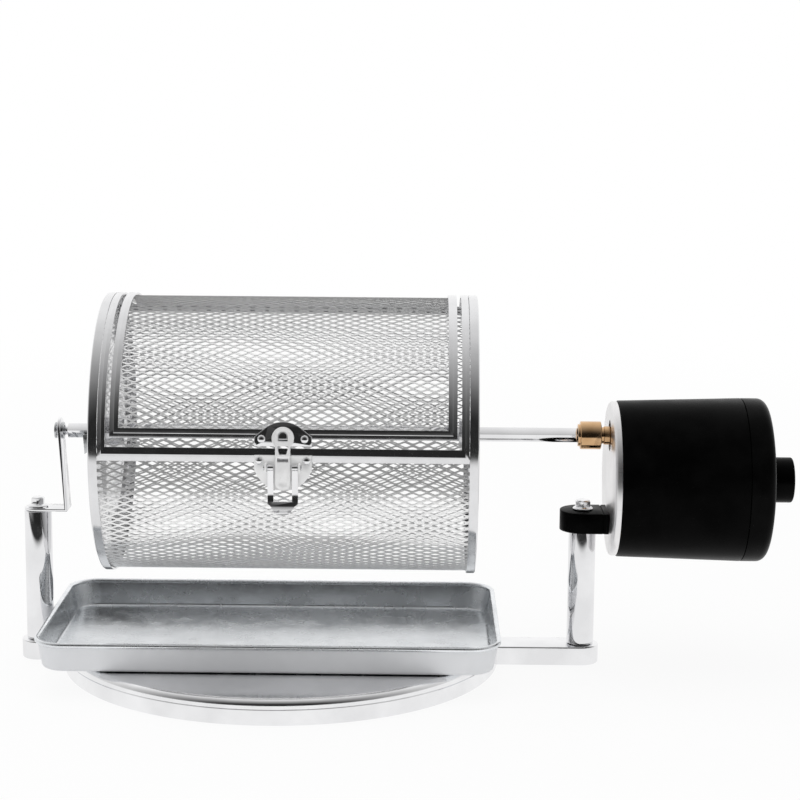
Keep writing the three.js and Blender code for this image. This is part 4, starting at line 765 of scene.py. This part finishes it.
def latch_link():
    """The link: a bent strip with a round head pierced for the hook, a neck, and a tongue with a dimple."""

    def head_line(height):
        """Where the leaning upper part of the strip is at a height."""
        along = (height - LINK_OUT * sin(LINK_LEAN)) / cos(LINK_LEAN)
        return -LINK_OUT * cos(LINK_LEAN) + along * sin(LINK_LEAN)

    def through(radius, height):
        level = AXIS_HEIGHT + height
        return round_cutter(radius, (0, -LATCH_CUT[0], level), (0, -LATCH_CUT[1], level), sides=64)

    def block(half, low, high):
        return box_cutter(
            (-half, -LATCH_CUT[1], AXIS_HEIGHT + low), (half, -LATCH_CUT[0], AXIS_HEIGHT + high)
        )

    head, head_height = LINK_HEAD
    tongue, tongue_end = LINK_TONGUE
    top = head_height + head + MM
    bend_out, bend_height = LINK_BEND
    line = [
        (-bend_out, tongue_end - MM), (-bend_out, bend_height), (head_line(LINK_FOLD), LINK_FOLD),
        (head_line(top), top),
    ]
    strips = len(line) - 1
    bpy.ops.mesh.primitive_grid_add(x_subdivisions=1, y_subdivisions=strips, size=1, rotation=(pi / 2, 0, 0))
    piece = named("latch_link_strip")
    piece.scale = (2 * head + MM, 1, 1)
    place_in_mesh(piece)
    with editing(piece):
        for row, (out, height) in enumerate(line):
            level = row / strips - 0.5
            pick(piece, lambda c: abs(c.z - level) < NEAR)
            pulled((0, out, height - level))
    modify(piece, "SOLIDIFY", thickness=LINK_SHEET, offset=0, use_even_offset=True)
    drum_place(tidy_faces(piece))
    outline = joined(
        through(head, head_height), block(tongue, tongue_end + tongue, head_height),
        through(tongue, tongue_end + tongue),
    )
    modify(piece, "BOOLEAN", object=outline, operation="INTERSECT", solver="EXACT")
    bpy.data.objects.remove(outline)
    arch, arch_low, arch_high = LINK_ARCH
    narrow, wide, neck_low, neck_high = LINK_NECK
    neck = block(wide / 2, neck_low, neck_high)
    with editing(neck):
        pick(neck, lambda c: c.z < AXIS_HEIGHT + neck_low + NEAR)
        bpy.ops.transform.resize(value=(narrow / wide, 1, 1), center_override=(0, 0, AXIS_HEIGHT))
    head_face = (
        0, head_line(head_height) - LINK_SHEET / 2 * cos(LINK_LEAN),
        AXIS_HEIGHT + head_height + LINK_SHEET / 2 * sin(LINK_LEAN),
    )
    bpy.ops.mesh.primitive_torus_add(
        major_radius=LINK_GROOVE[0], minor_radius=LINK_GROOVE[1], major_segments=64, minor_segments=8,
        location=head_face, rotation=(pi / 2 - LINK_LEAN, 0, 0),
    )
    groove = place_in_mesh(named("cutter"))
    ball, dip = LINK_DIMPLE
    bpy.ops.mesh.primitive_uv_sphere_add(
        segments=64, ring_count=48, radius=ball,
        location=(0, -bend_out - LINK_SHEET / 2 - ball + dip, AXIS_HEIGHT + tongue_end + tongue),
    )
    dimple = place_in_mesh(named("cutter"))
    hollowed(
        piece, joined(block(arch, arch_low, arch_high), through(arch, arch_high)), neck,
        block(LINK_SLOT[0], -LINK_SLOT[1], LINK_SLOT[1]), groove, dimple,
    )
    round_edges(piece, FINE_EDGE)
    # The link wears the near-white latch finish: painted brightness for the strong light on it
    stand_for("latch_link", piece, finish="latch_painted_bright")


def latch_base():
    """The base plate under the lever, with the slot that shows through the link's own."""
    piece = solid_copy("latch_base", "latch_base_plate")
    half, rise = LINK_SLOT
    slot = box_cutter(
        (-half, -LATCH_CUT[1], AXIS_HEIGHT - rise), (half, -LATCH_BASE_BACK, AXIS_HEIGHT + rise)
    )
    hollowed(piece, slot)
    round_edges(piece, SHEET_EDGE)
    # The plate wears the same near-white latch finish: painted brightness
    stand_for("latch_base", piece, finish="latch_painted_bright")


# Base

def base_bar():
    """The flat bar on the floor, with round ends and softened edges."""
    low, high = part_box("base_bar")
    bpy.ops.mesh.primitive_plane_add(size=1, location=((low.x + high.x) / 2, 0, 0))
    piece = named("base_bar_flat")
    piece.scale = (high.x - low.x, high.y - low.y, 1)
    place_in_mesh(piece)
    with editing(piece):
        bpy.ops.mesh.select_all(action="SELECT")
        bpy.ops.mesh.bevel(offset=high.y - MERGE, segments=20, affect="VERTICES")
        bpy.ops.mesh.select_all(action="SELECT")
        bpy.ops.mesh.remove_doubles(threshold=NEAR)
        bpy.ops.mesh.extrude_region_move(TRANSFORM_OT_translate={"value": (0, 0, high.z)})
    tidy_faces(piece)
    modify(piece, "BEVEL", width=BAR_EDGE, segments=3, limit_method="ANGLE", angle_limit=radians(50))
    stand_for("base_bar", piece)


def base_disc():
    """The round base: a pressed disc with a rounded edge and a turned line round its side."""
    low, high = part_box("base_disc")
    wide = (high.x - low.x) / 2
    top = high.z
    half, depth = DISC_LINE_CUT
    rounding = [(top - DISC_EDGE * (1 - cos(t)), wide - DISC_EDGE * (1 - sin(t))) for t in quarter(8)]
    side = [
        (DISC_LINE + half, wide), (DISC_LINE, wide - depth), (DISC_LINE - half, wide), (DISC_FOOT, wide),
        (0, wide - DISC_FOOT),
    ]
    inside = [(0, wide - DISC_SHEET), (top - DISC_SHEET, wide - DISC_SHEET), (top - DISC_SHEET, DISC_BORE)]
    profile = [(top, DISC_BORE), *rounding, *side, *inside]
    piece = turned("base_disc_pressing", profile, ((low.x + high.x) / 2, 0, 0), along="Z", sides=192)
    bar_low, bar_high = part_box("base_bar")
    notch = box_cutter(
        (low.x - MM, bar_low.y - NOTCH_PLAY, -MM), (high.x + MM, bar_high.y + NOTCH_PLAY, top - DISC_SHEET)
    )
    hollowed(piece, notch)
    stand_for("base_disc", piece, finish="polished_disc")


def post(name):
    """A turned post with softened ends and a screw hole in each."""
    low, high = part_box(name)
    wide = (high.x - low.x) / 2
    profile = [
        (low.z + POST_BORE, SCREW_BORE), (low.z, SCREW_BORE), *ends_rounded(low.z, high.z, wide),
        (high.z, SCREW_BORE), (high.z - POST_BORE, SCREW_BORE),
    ]
    piece = turned(name + "_bar", profile, ((low.x + high.x) / 2, 0, 0), along="Z", sides=128)
    stand_for(name, piece)


def flange_bolt(name, flats, height):
    """A hex bolt with a round flange, its thread running down into the post."""
    low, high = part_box(name)
    seat = high.z - BOLT_HEAD
    wide, flange = BOLT_FLANGE
    place = ((low.x + high.x) / 2, 0, 0)
    profile = [
        (low.z, SCREW_RADIUS - SCREW_TIP), (low.z + SCREW_TIP, SCREW_RADIUS), (seat, SCREW_RADIUS),
        (seat, wide - BOLT_FLANGE_EDGE), (seat + BOLT_FLANGE_EDGE, wide), (seat + flange / 3, wide),
        (seat + 0.7 * flange, flats / 2 + BOLT_COLLAR), (seat + flange, flats / 2),
    ]
    piece = turned(name + "_flanged", profile, place, along="Z", sides=64)
    corner = flats / sqrt(3)
    top = seat + flange + height
    bevel, left = HEX_BEVEL
    profile = [(seat + HEX_SEAT, corner), (top - bevel * flats, corner), (top, left * corner)]
    hexagon = turned("hexagon", profile, place, along="Z", sides=6)
    joined(piece, hexagon)
    round_edges(piece, FINE_EDGE)
    stand_for(name, piece)


# Rod and motor unit

def rod_ring(name):
    """A plain washer or sleeve on the rod, with softened edges."""
    low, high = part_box(name)
    wide = (high.y - low.y) / 2
    side = ends_rounded(low.x, high.x, wide, RING_EDGE)
    profile = [(low.x, ROD_BORE), *side, (high.x, ROD_BORE), (low.x, ROD_BORE)]
    piece = turned(name + "_ring", profile, (0, 0, AXIS_HEIGHT), sides=64, ring=True)
    stand_for(name, piece)


def coupler():
    """The brass coupler: a collar, a body, a waist and a neck that runs into the motor's face."""
    low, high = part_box("coupler")
    wide = (high.y - low.y) / 2
    start, end = low.x, low.x + COUPLER_LENGTH
    collar, collar_width = COUPLER_COLLAR
    collar_end = start + collar_width
    waist, waist_width = COUPLER_WAIST
    neck = end + waist_width
    profile = [
        (start, COUPLER_BORE), *ends_rounded(start, collar_end, collar, COUPLER_COLLAR_EDGE)[:4],
        (collar_end, collar), *ends_rounded(collar_end, end, wide, COUPLER_EDGE), (end, waist), (neck, waist),
        (neck, COUPLER_NECK - COUPLER_NECK_EDGE), (neck + COUPLER_NECK_EDGE, COUPLER_NECK),
        (high.x, COUPLER_NECK), (high.x, COUPLER_BORE), (start, COUPLER_BORE),
    ]
    piece = turned("coupler_brass", profile, (0, 0, AXIS_HEIGHT), ring=True)
    screw, along = COUPLER_SCREW
    near, far = COUPLER_SCREW_CUT
    hole = round_cutter(screw, (start + along, 0, AXIS_HEIGHT - near), (start + along, 0, AXIS_HEIGHT - far))
    hollowed(piece, hole)
    stand_for("coupler", piece)


def face_plate():
    """The motor's aluminium face, with its bevelled rim and the hole for the coupler's neck."""
    low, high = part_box("face_plate")
    wide = (high.y - low.y) / 2
    bevel = (high.x - low.x) / 3
    rim = [
        (low.x, wide - bevel), (low.x + FACE_STEP, wide - 0.55 * bevel),
        (low.x + 0.6 * bevel, wide - 0.25 * bevel), (low.x + bevel, wide), (high.x - FACE_CORNER, wide),
        (high.x, wide - FACE_CORNER),
    ]
    profile = [(low.x, FACE_MIDDLE), *rim, (high.x, FACE_MIDDLE)]
    piece = turned("face_plate_disc", profile, (0, 0, MOTOR_HEIGHT), sides=160)
    level = MOTOR_HEIGHT + SHAFT_DROP
    hole = round_cutter(FACE_HOLE, (low.x - MM, 0, level), (high.x + MM, 0, level), sides=64)
    hollowed(piece, hole)
    stand_for("face_plate", piece)


def output_bush():
    """The plain bush round the coupler's neck, behind the motor's face."""
    low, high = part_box("output_bush")
    wide, bore = (high.y - low.y) / 2, COUPLER_NECK + BUSH_PLAY
    profile = [(low.x, bore), *ends_rounded(low.x, high.x, wide, BUSH_EDGE), (high.x, bore), (low.x, bore)]
    piece = turned("output_bush_ring", profile, (0, 0, AXIS_HEIGHT), sides=64, ring=True)
    stand_for("output_bush", piece)


def motor_housing():
    """The motor's tube, a little wider at its far end, with the hole for the power inlet."""
    low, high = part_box("motor_housing")
    wide = (high.z - low.z) / 2
    near = wide - HOUSING_FLARE
    shoulder = EDGE_SHOULDER * EDGE
    profile = [
        (low.x, near - HOUSING_WALL), (low.x, near - EDGE), (low.x + shoulder, near - shoulder),
        (low.x + EDGE, near), (high.x - EDGE, wide), (high.x - shoulder, wide - shoulder),
        (high.x, wide - EDGE), (high.x, wide - HOUSING_WALL), (low.x, near - HOUSING_WALL),
    ]
    piece = turned("motor_housing_tube", profile, (0, 0, MOTOR_HEIGHT), sides=160, ring=True)
    inlet_low, inlet_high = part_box("power_inlet")
    middle = (inlet_low.x + inlet_high.x) / 2
    start, end = INLET_CUT
    hole = round_cutter(INLET_HOLE, (middle, start, MOTOR_HEIGHT), (middle, end, MOTOR_HEIGHT), sides=48)
    hollowed(piece, hole)
    stand_for("motor_housing", piece)


def end_cap():
    """The motor's end cap, with a rounded edge, the knob's hole and two sunk screw holes."""
    low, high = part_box("end_cap")
    wide = (high.z - low.z) / 2
    turns = quarter(10)
    shoulder = EDGE_SHOULDER * EDGE
    outer = [(high.x - CAP_FILLET * (1 - sin(t)), wide - CAP_FILLET * (1 - cos(t))) for t in turns]
    inner = [
        (there - HOUSING_WALL * sin(t), radius - HOUSING_WALL * cos(t))
        for (there, radius), t in zip(outer, turns)
    ]
    profile = [
        (low.x, wide - HOUSING_WALL), (low.x, wide - EDGE), (low.x + shoulder, wide - shoulder),
        (low.x + EDGE, wide), *outer, (high.x, POT_HOLE), (high.x - HOUSING_WALL, POT_HOLE), *reversed(inner),
        (low.x, wide - HOUSING_WALL),
    ]
    piece = turned("end_cap_shell", profile, (0, 0, MOTOR_HEIGHT), sides=160, ring=True)
    sink = [
        (high.x - CASE_SCREW_DEPTH, CASE_SCREW_BORE), (high.x - CASE_SCREW_SINK, CASE_SCREW_BORE),
        (high.x, CASE_SCREW_HEAD), (high.x + MM, CASE_SCREW_HEAD),
    ]
    cutters = []
    for turn in CASE_SCREW_TURNS:
        place = (0, CASE_SCREW_PLACE * cos(turn), MOTOR_HEIGHT + CASE_SCREW_PLACE * sin(turn))
        cutters.append(turned("cutter", sink, place, sides=32))
    hollowed(piece, *cutters)
    stand_for("end_cap", piece)


def speed_knob():
    """The speed knob: a plain cap on the motor's end, with a soft edge and a low dome."""
    low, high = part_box("speed_knob")
    wide = (high.y - low.y) / 2
    level = (low.z + high.z) / 2
    rim = high.x - KNOB_DOME - KNOB_EDGE
    edge = [(rim + KNOB_EDGE * sin(t), wide - KNOB_EDGE * (1 - cos(t))) for t in quarter(4)]
    bore, depth = KNOB_BORE
    profile = [
        (low.x + depth, bore), (low.x + KNOB_RECESS, bore), (low.x + KNOB_RECESS, wide / 2),
        (low.x, wide / 2), (low.x, wide - KNOB_CORNER), (low.x + KNOB_CORNER, wide), *edge,
        (high.x - KNOB_DOME / 4, wide / 2), (high.x, KNOB_MIDDLE),
    ]
    piece = turned("speed_knob_cap", profile, (0, 0, level))
    stand_for("speed_knob", piece)


# Tray

def rounded_plane(name, low, high, corner, level):
    """A flat rectangle with round corners, between two places on the floor plan and at a height."""
    bpy.ops.mesh.primitive_plane_add(size=1, location=((low.x + high.x) / 2, (low.y + high.y) / 2, level))
    piece = named(name)
    piece.scale = (high.x - low.x, high.y - low.y, 1)
    place_in_mesh(piece)
    with editing(piece):
        bpy.ops.mesh.select_all(action="SELECT")
        bpy.ops.mesh.bevel(offset=corner, segments=16, affect="VERTICES")
    return piece


def tray():
    """The pan, with steep flared walls on a rounded foot, drawn from the rim inwards, and its rolled rim."""
    low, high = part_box("tray")
    middle = (low + high) / 2
    inward = Vector((TRAY_BEAD, TRAY_BEAD, 0))
    rim = high.z - TRAY_BEAD
    pan = rounded_plane("tray_pan", low + inward, high - inward, TRAY_CORNER - TRAY_BEAD, rim)
    foot = [(TRAY_FOOT * (1 - cos(t)), TRAY_FOOT * sin(t)) for t in quarter(6)]
    steps = [(TRAY_FLARE, rim - low.z - TRAY_FOOT)]
    for (far, deep), (further, deeper) in zip(foot, foot[1:]):
        steps.append((further - far, deeper - deep))
    steps.append((TRAY_FLAT, 0))
    with editing(pan, "FACE"):
        bpy.ops.mesh.select_all(action="SELECT")
        for thickness, depth in steps:
            bpy.ops.mesh.inset(thickness=thickness, depth=-depth)
    modify(pan, "SOLIDIFY", thickness=TRAY_SHEET, offset=1)
    tidy_faces(pan)
    stand_for("tray", pan)
    # The walls' outer faces wear a lighter, frosted copy of the tray steel: painted brightness on the outside
    # of the pan
    pan.data.materials.append(finishes["tray_outside_painted_bright"])
    with editing(pan):
        pick(pan, lambda centre, normal: abs(normal.z) < 0.9 and normal.dot(centre - middle) > 0, "FACE")
        pan.active_material_index = 1
        bpy.ops.object.material_slot_assign()
    bead = rounded_plane("tray_bead", low + inward, high - inward, TRAY_CORNER - TRAY_BEAD, rim)
    with editing(bead, "FACE"):
        bpy.ops.mesh.select_all(action="SELECT")
        bpy.ops.mesh.delete(type="ONLY_FACE")
    take(bead)
    bpy.ops.object.convert(target="CURVE")
    bead.data.bevel_depth = TRAY_BEAD
    bead.data.bevel_resolution = 4
    bpy.ops.object.convert(target="MESH")
    tidy_faces(bead)
    smooth(bead, radians(60))
    # The rim wears a lighter copy of the tray steel: a painted highlight beside the real one its bead catches
    dress(bead, "tray", "tray_steel", finish="tray_rim_painted_highlight")


# Stage

def make_camera():
    """The photograph's camera, from its turn, its dip and its roll."""
    turn = (
        Matrix.Rotation(-CAMERA_TURN, 4, "Z")
        @ Matrix.Rotation(pi / 2 - CAMERA_DIP, 4, "X")
        @ Matrix.Rotation(CAMERA_ROLL, 4, "Z")
    )
    data = bpy.data.cameras.new("camera")
    data.sensor_width = SENSOR_WIDTH
    data.lens = FOCAL_PIXELS / PHOTO_SIDE * SENSOR_WIDTH
    camera = bpy.data.objects.new("camera", data)
    bpy.context.scene.collection.objects.link(camera)
    camera.matrix_world = Matrix.Translation(CAMERA_PLACE) @ turn
    bpy.context.scene.camera = camera


def make_floor():
    """A pale floor that fades into the white backdrop and keeps the object's shadow. In reflections it ends
    in a dark room, some way in front of the object."""
    bpy.ops.mesh.primitive_circle_add(vertices=96, radius=FLOOR_RADIUS, fill_type="NGON")
    floor = named("floor")
    made = bpy.data.materials.new("floor")
    made.use_nodes = True
    tree = made.node_tree
    tree.nodes.clear()
    place = node(tree, "TexCoord").outputs["Object"]
    far = node(tree, "VectorMath", {0: place}, operation="LENGTH").outputs["Value"]
    fade = node(
        tree, "MapRange",
        {"Value": far, "From Min": FLOOR_FADE[0], "From Max": FLOOR_FADE[1], "To Min": FLOOR_FADE[2],
         "To Max": 1.0},
        interpolation_type="SMOOTHSTEP",
    ).outputs["Result"]
    back = node(tree, "SeparateXYZ", {0: place}).outputs["Y"]
    front = node(
        tree, "MapRange",
        {"Value": back, "From Min": FLOOR_FRONT[0], "From Max": FLOOR_FRONT[1], "To Min": FLOOR_LIGHT[0],
         "To Max": FLOOR_LIGHT[1]},
        interpolation_type="SMOOTHSTEP",
    ).outputs["Result"]
    path = node(tree, "LightPath").outputs
    shown = node(tree, "Math", {0: path["Is Camera Ray"], 1: fade}, operation="MULTIPLY")
    shown = node(tree, "Math", {0: shown.outputs[0], 1: path["Is Glossy Ray"]}, operation="MAXIMUM")
    shown = node(tree, "Math", {0: shown.outputs[0], 1: path["Is Transmission Ray"]}, operation="MAXIMUM")
    strength = node(tree, "Mix", {"Factor": path["Is Glossy Ray"], "A": 1.0, "B": front}).outputs["Result"]
    lit = node(tree, "BsdfDiffuse", {"Color": FLOOR_COLOUR})
    white = node(tree, "Emission", {"Color": WHITE, "Strength": strength})
    both = node(tree, "MixShader", {0: shown.outputs[0], 1: lit.outputs[0], 2: white.outputs[0]})
    out = node(tree, "OutputMaterial")
    tree.links.new(both.outputs[0], out.inputs["Surface"])
    floor.data.materials.append(made)


def make_world():
    """Even white light, and for reflections a white studio that darkens towards the room in front."""
    world = bpy.data.worlds.new("studio")
    bpy.context.scene.world = world
    world.use_nodes = True
    tree = world.node_tree
    tree.nodes.clear()
    way = node(tree, "SeparateXYZ", {0: node(tree, "TexCoord").outputs["Generated"]}).outputs
    place = node(tree, "MapRange", {"Value": way["Y"], "From Min": -1.0, "From Max": 1.0}).outputs["Result"]
    room = node(tree, "ValToRGB", {"Fac": place})
    stops = room.color_ramp.elements
    while len(stops) < len(STUDIO_LIGHT):
        stops.new(0.5)
    for stop, (towards, light) in zip(stops, STUDIO_LIGHT):
        stop.position = (towards + 1) / 2
        stop.color = (light, light, light, 1)
    path = node(tree, "LightPath").outputs
    seen = node(tree, "Math", {0: path["Is Camera Ray"], 1: path["Is Glossy Ray"]}, operation="MAXIMUM")
    seen = node(tree, "Math", {0: seen.outputs[0], 1: path["Is Transmission Ray"]}, operation="MAXIMUM")
    strength = node(tree, "Mix", {"Factor": path["Is Glossy Ray"], "A": 1.0, "B": room.outputs["Color"]})
    soft = node(tree, "Background", {"Color": WHITE, "Strength": SOFT_LIGHT})
    bright = node(tree, "Background", {"Color": WHITE, "Strength": strength.outputs["Result"]})
    both = node(tree, "MixShader", {0: seen.outputs[0], 1: soft.outputs[0], 2: bright.outputs[0]})
    out = node(tree, "OutputWorld")
    tree.links.new(both.outputs[0], out.inputs["Surface"])


def make_lamp(name, place, target, side, power):
    """A square lamp that neither the camera nor a reflection shows."""
    data = bpy.data.lights.new(name, "AREA")
    data.shape = "SQUARE"
    data.size = side
    data.energy = power
    lamp = bpy.data.objects.new(name, data)
    bpy.context.scene.collection.objects.link(lamp)
    lamp.location = place
    lamp.rotation_euler = (Vector(target) - Vector(place)).to_track_quat("-Z", "Y").to_euler()
    lamp.visible_camera = False
    lamp.visible_glossy = False


def make_stage():
    """Camera, floor, world and lamps."""
    make_camera()
    make_floor()
    make_world()
    for name, (place, target, side, power) in LAMPS.items():
        make_lamp(name, place, target, side, power)
    bpy.context.scene.view_settings.view_transform = "Standard"


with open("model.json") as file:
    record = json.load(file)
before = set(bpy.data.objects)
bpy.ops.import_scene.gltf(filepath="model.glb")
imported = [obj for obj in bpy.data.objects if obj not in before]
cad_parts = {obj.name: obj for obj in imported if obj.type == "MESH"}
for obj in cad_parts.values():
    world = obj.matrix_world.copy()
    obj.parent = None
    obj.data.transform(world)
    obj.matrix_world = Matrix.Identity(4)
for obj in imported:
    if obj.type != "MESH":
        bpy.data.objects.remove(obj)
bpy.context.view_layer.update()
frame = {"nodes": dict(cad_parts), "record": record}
bpy.ops.object.select_all(action="DESELECT")
body_of = {name: body for body, names in frame["record"]["behaviour"]["bodies"].items() for name in names}
slot_of = {part["node"]: part["material_slot"] for part in frame["record"]["subparts"]}
GROUPS = {"mottle": mottle_group(), "grain": grain_group(), "speckle": speckle_group()}
finishes = make_finishes()
done = set()

make_stage()
drum_mesh()
door_mesh()
opening_frame()
door_frame()
drum_cap("left_drum_cap", -1)
drum_cap("right_drum_cap", 1)
base_bar()
base_disc()
for name in ("left_post", "right_post"):
    post(name)
for name, (flats, height) in BOLTS.items():
    flange_bolt(name, flats, height)
for name in ("rod_clip", "rod_bush"):
    rod_ring(name)
coupler()
face_plate()
output_bush()
motor_housing()
end_cap()
speed_knob()
tray()
latch_link()
latch_base()
for name in sorted(set(frame["nodes"]) - done):
    worked(name)
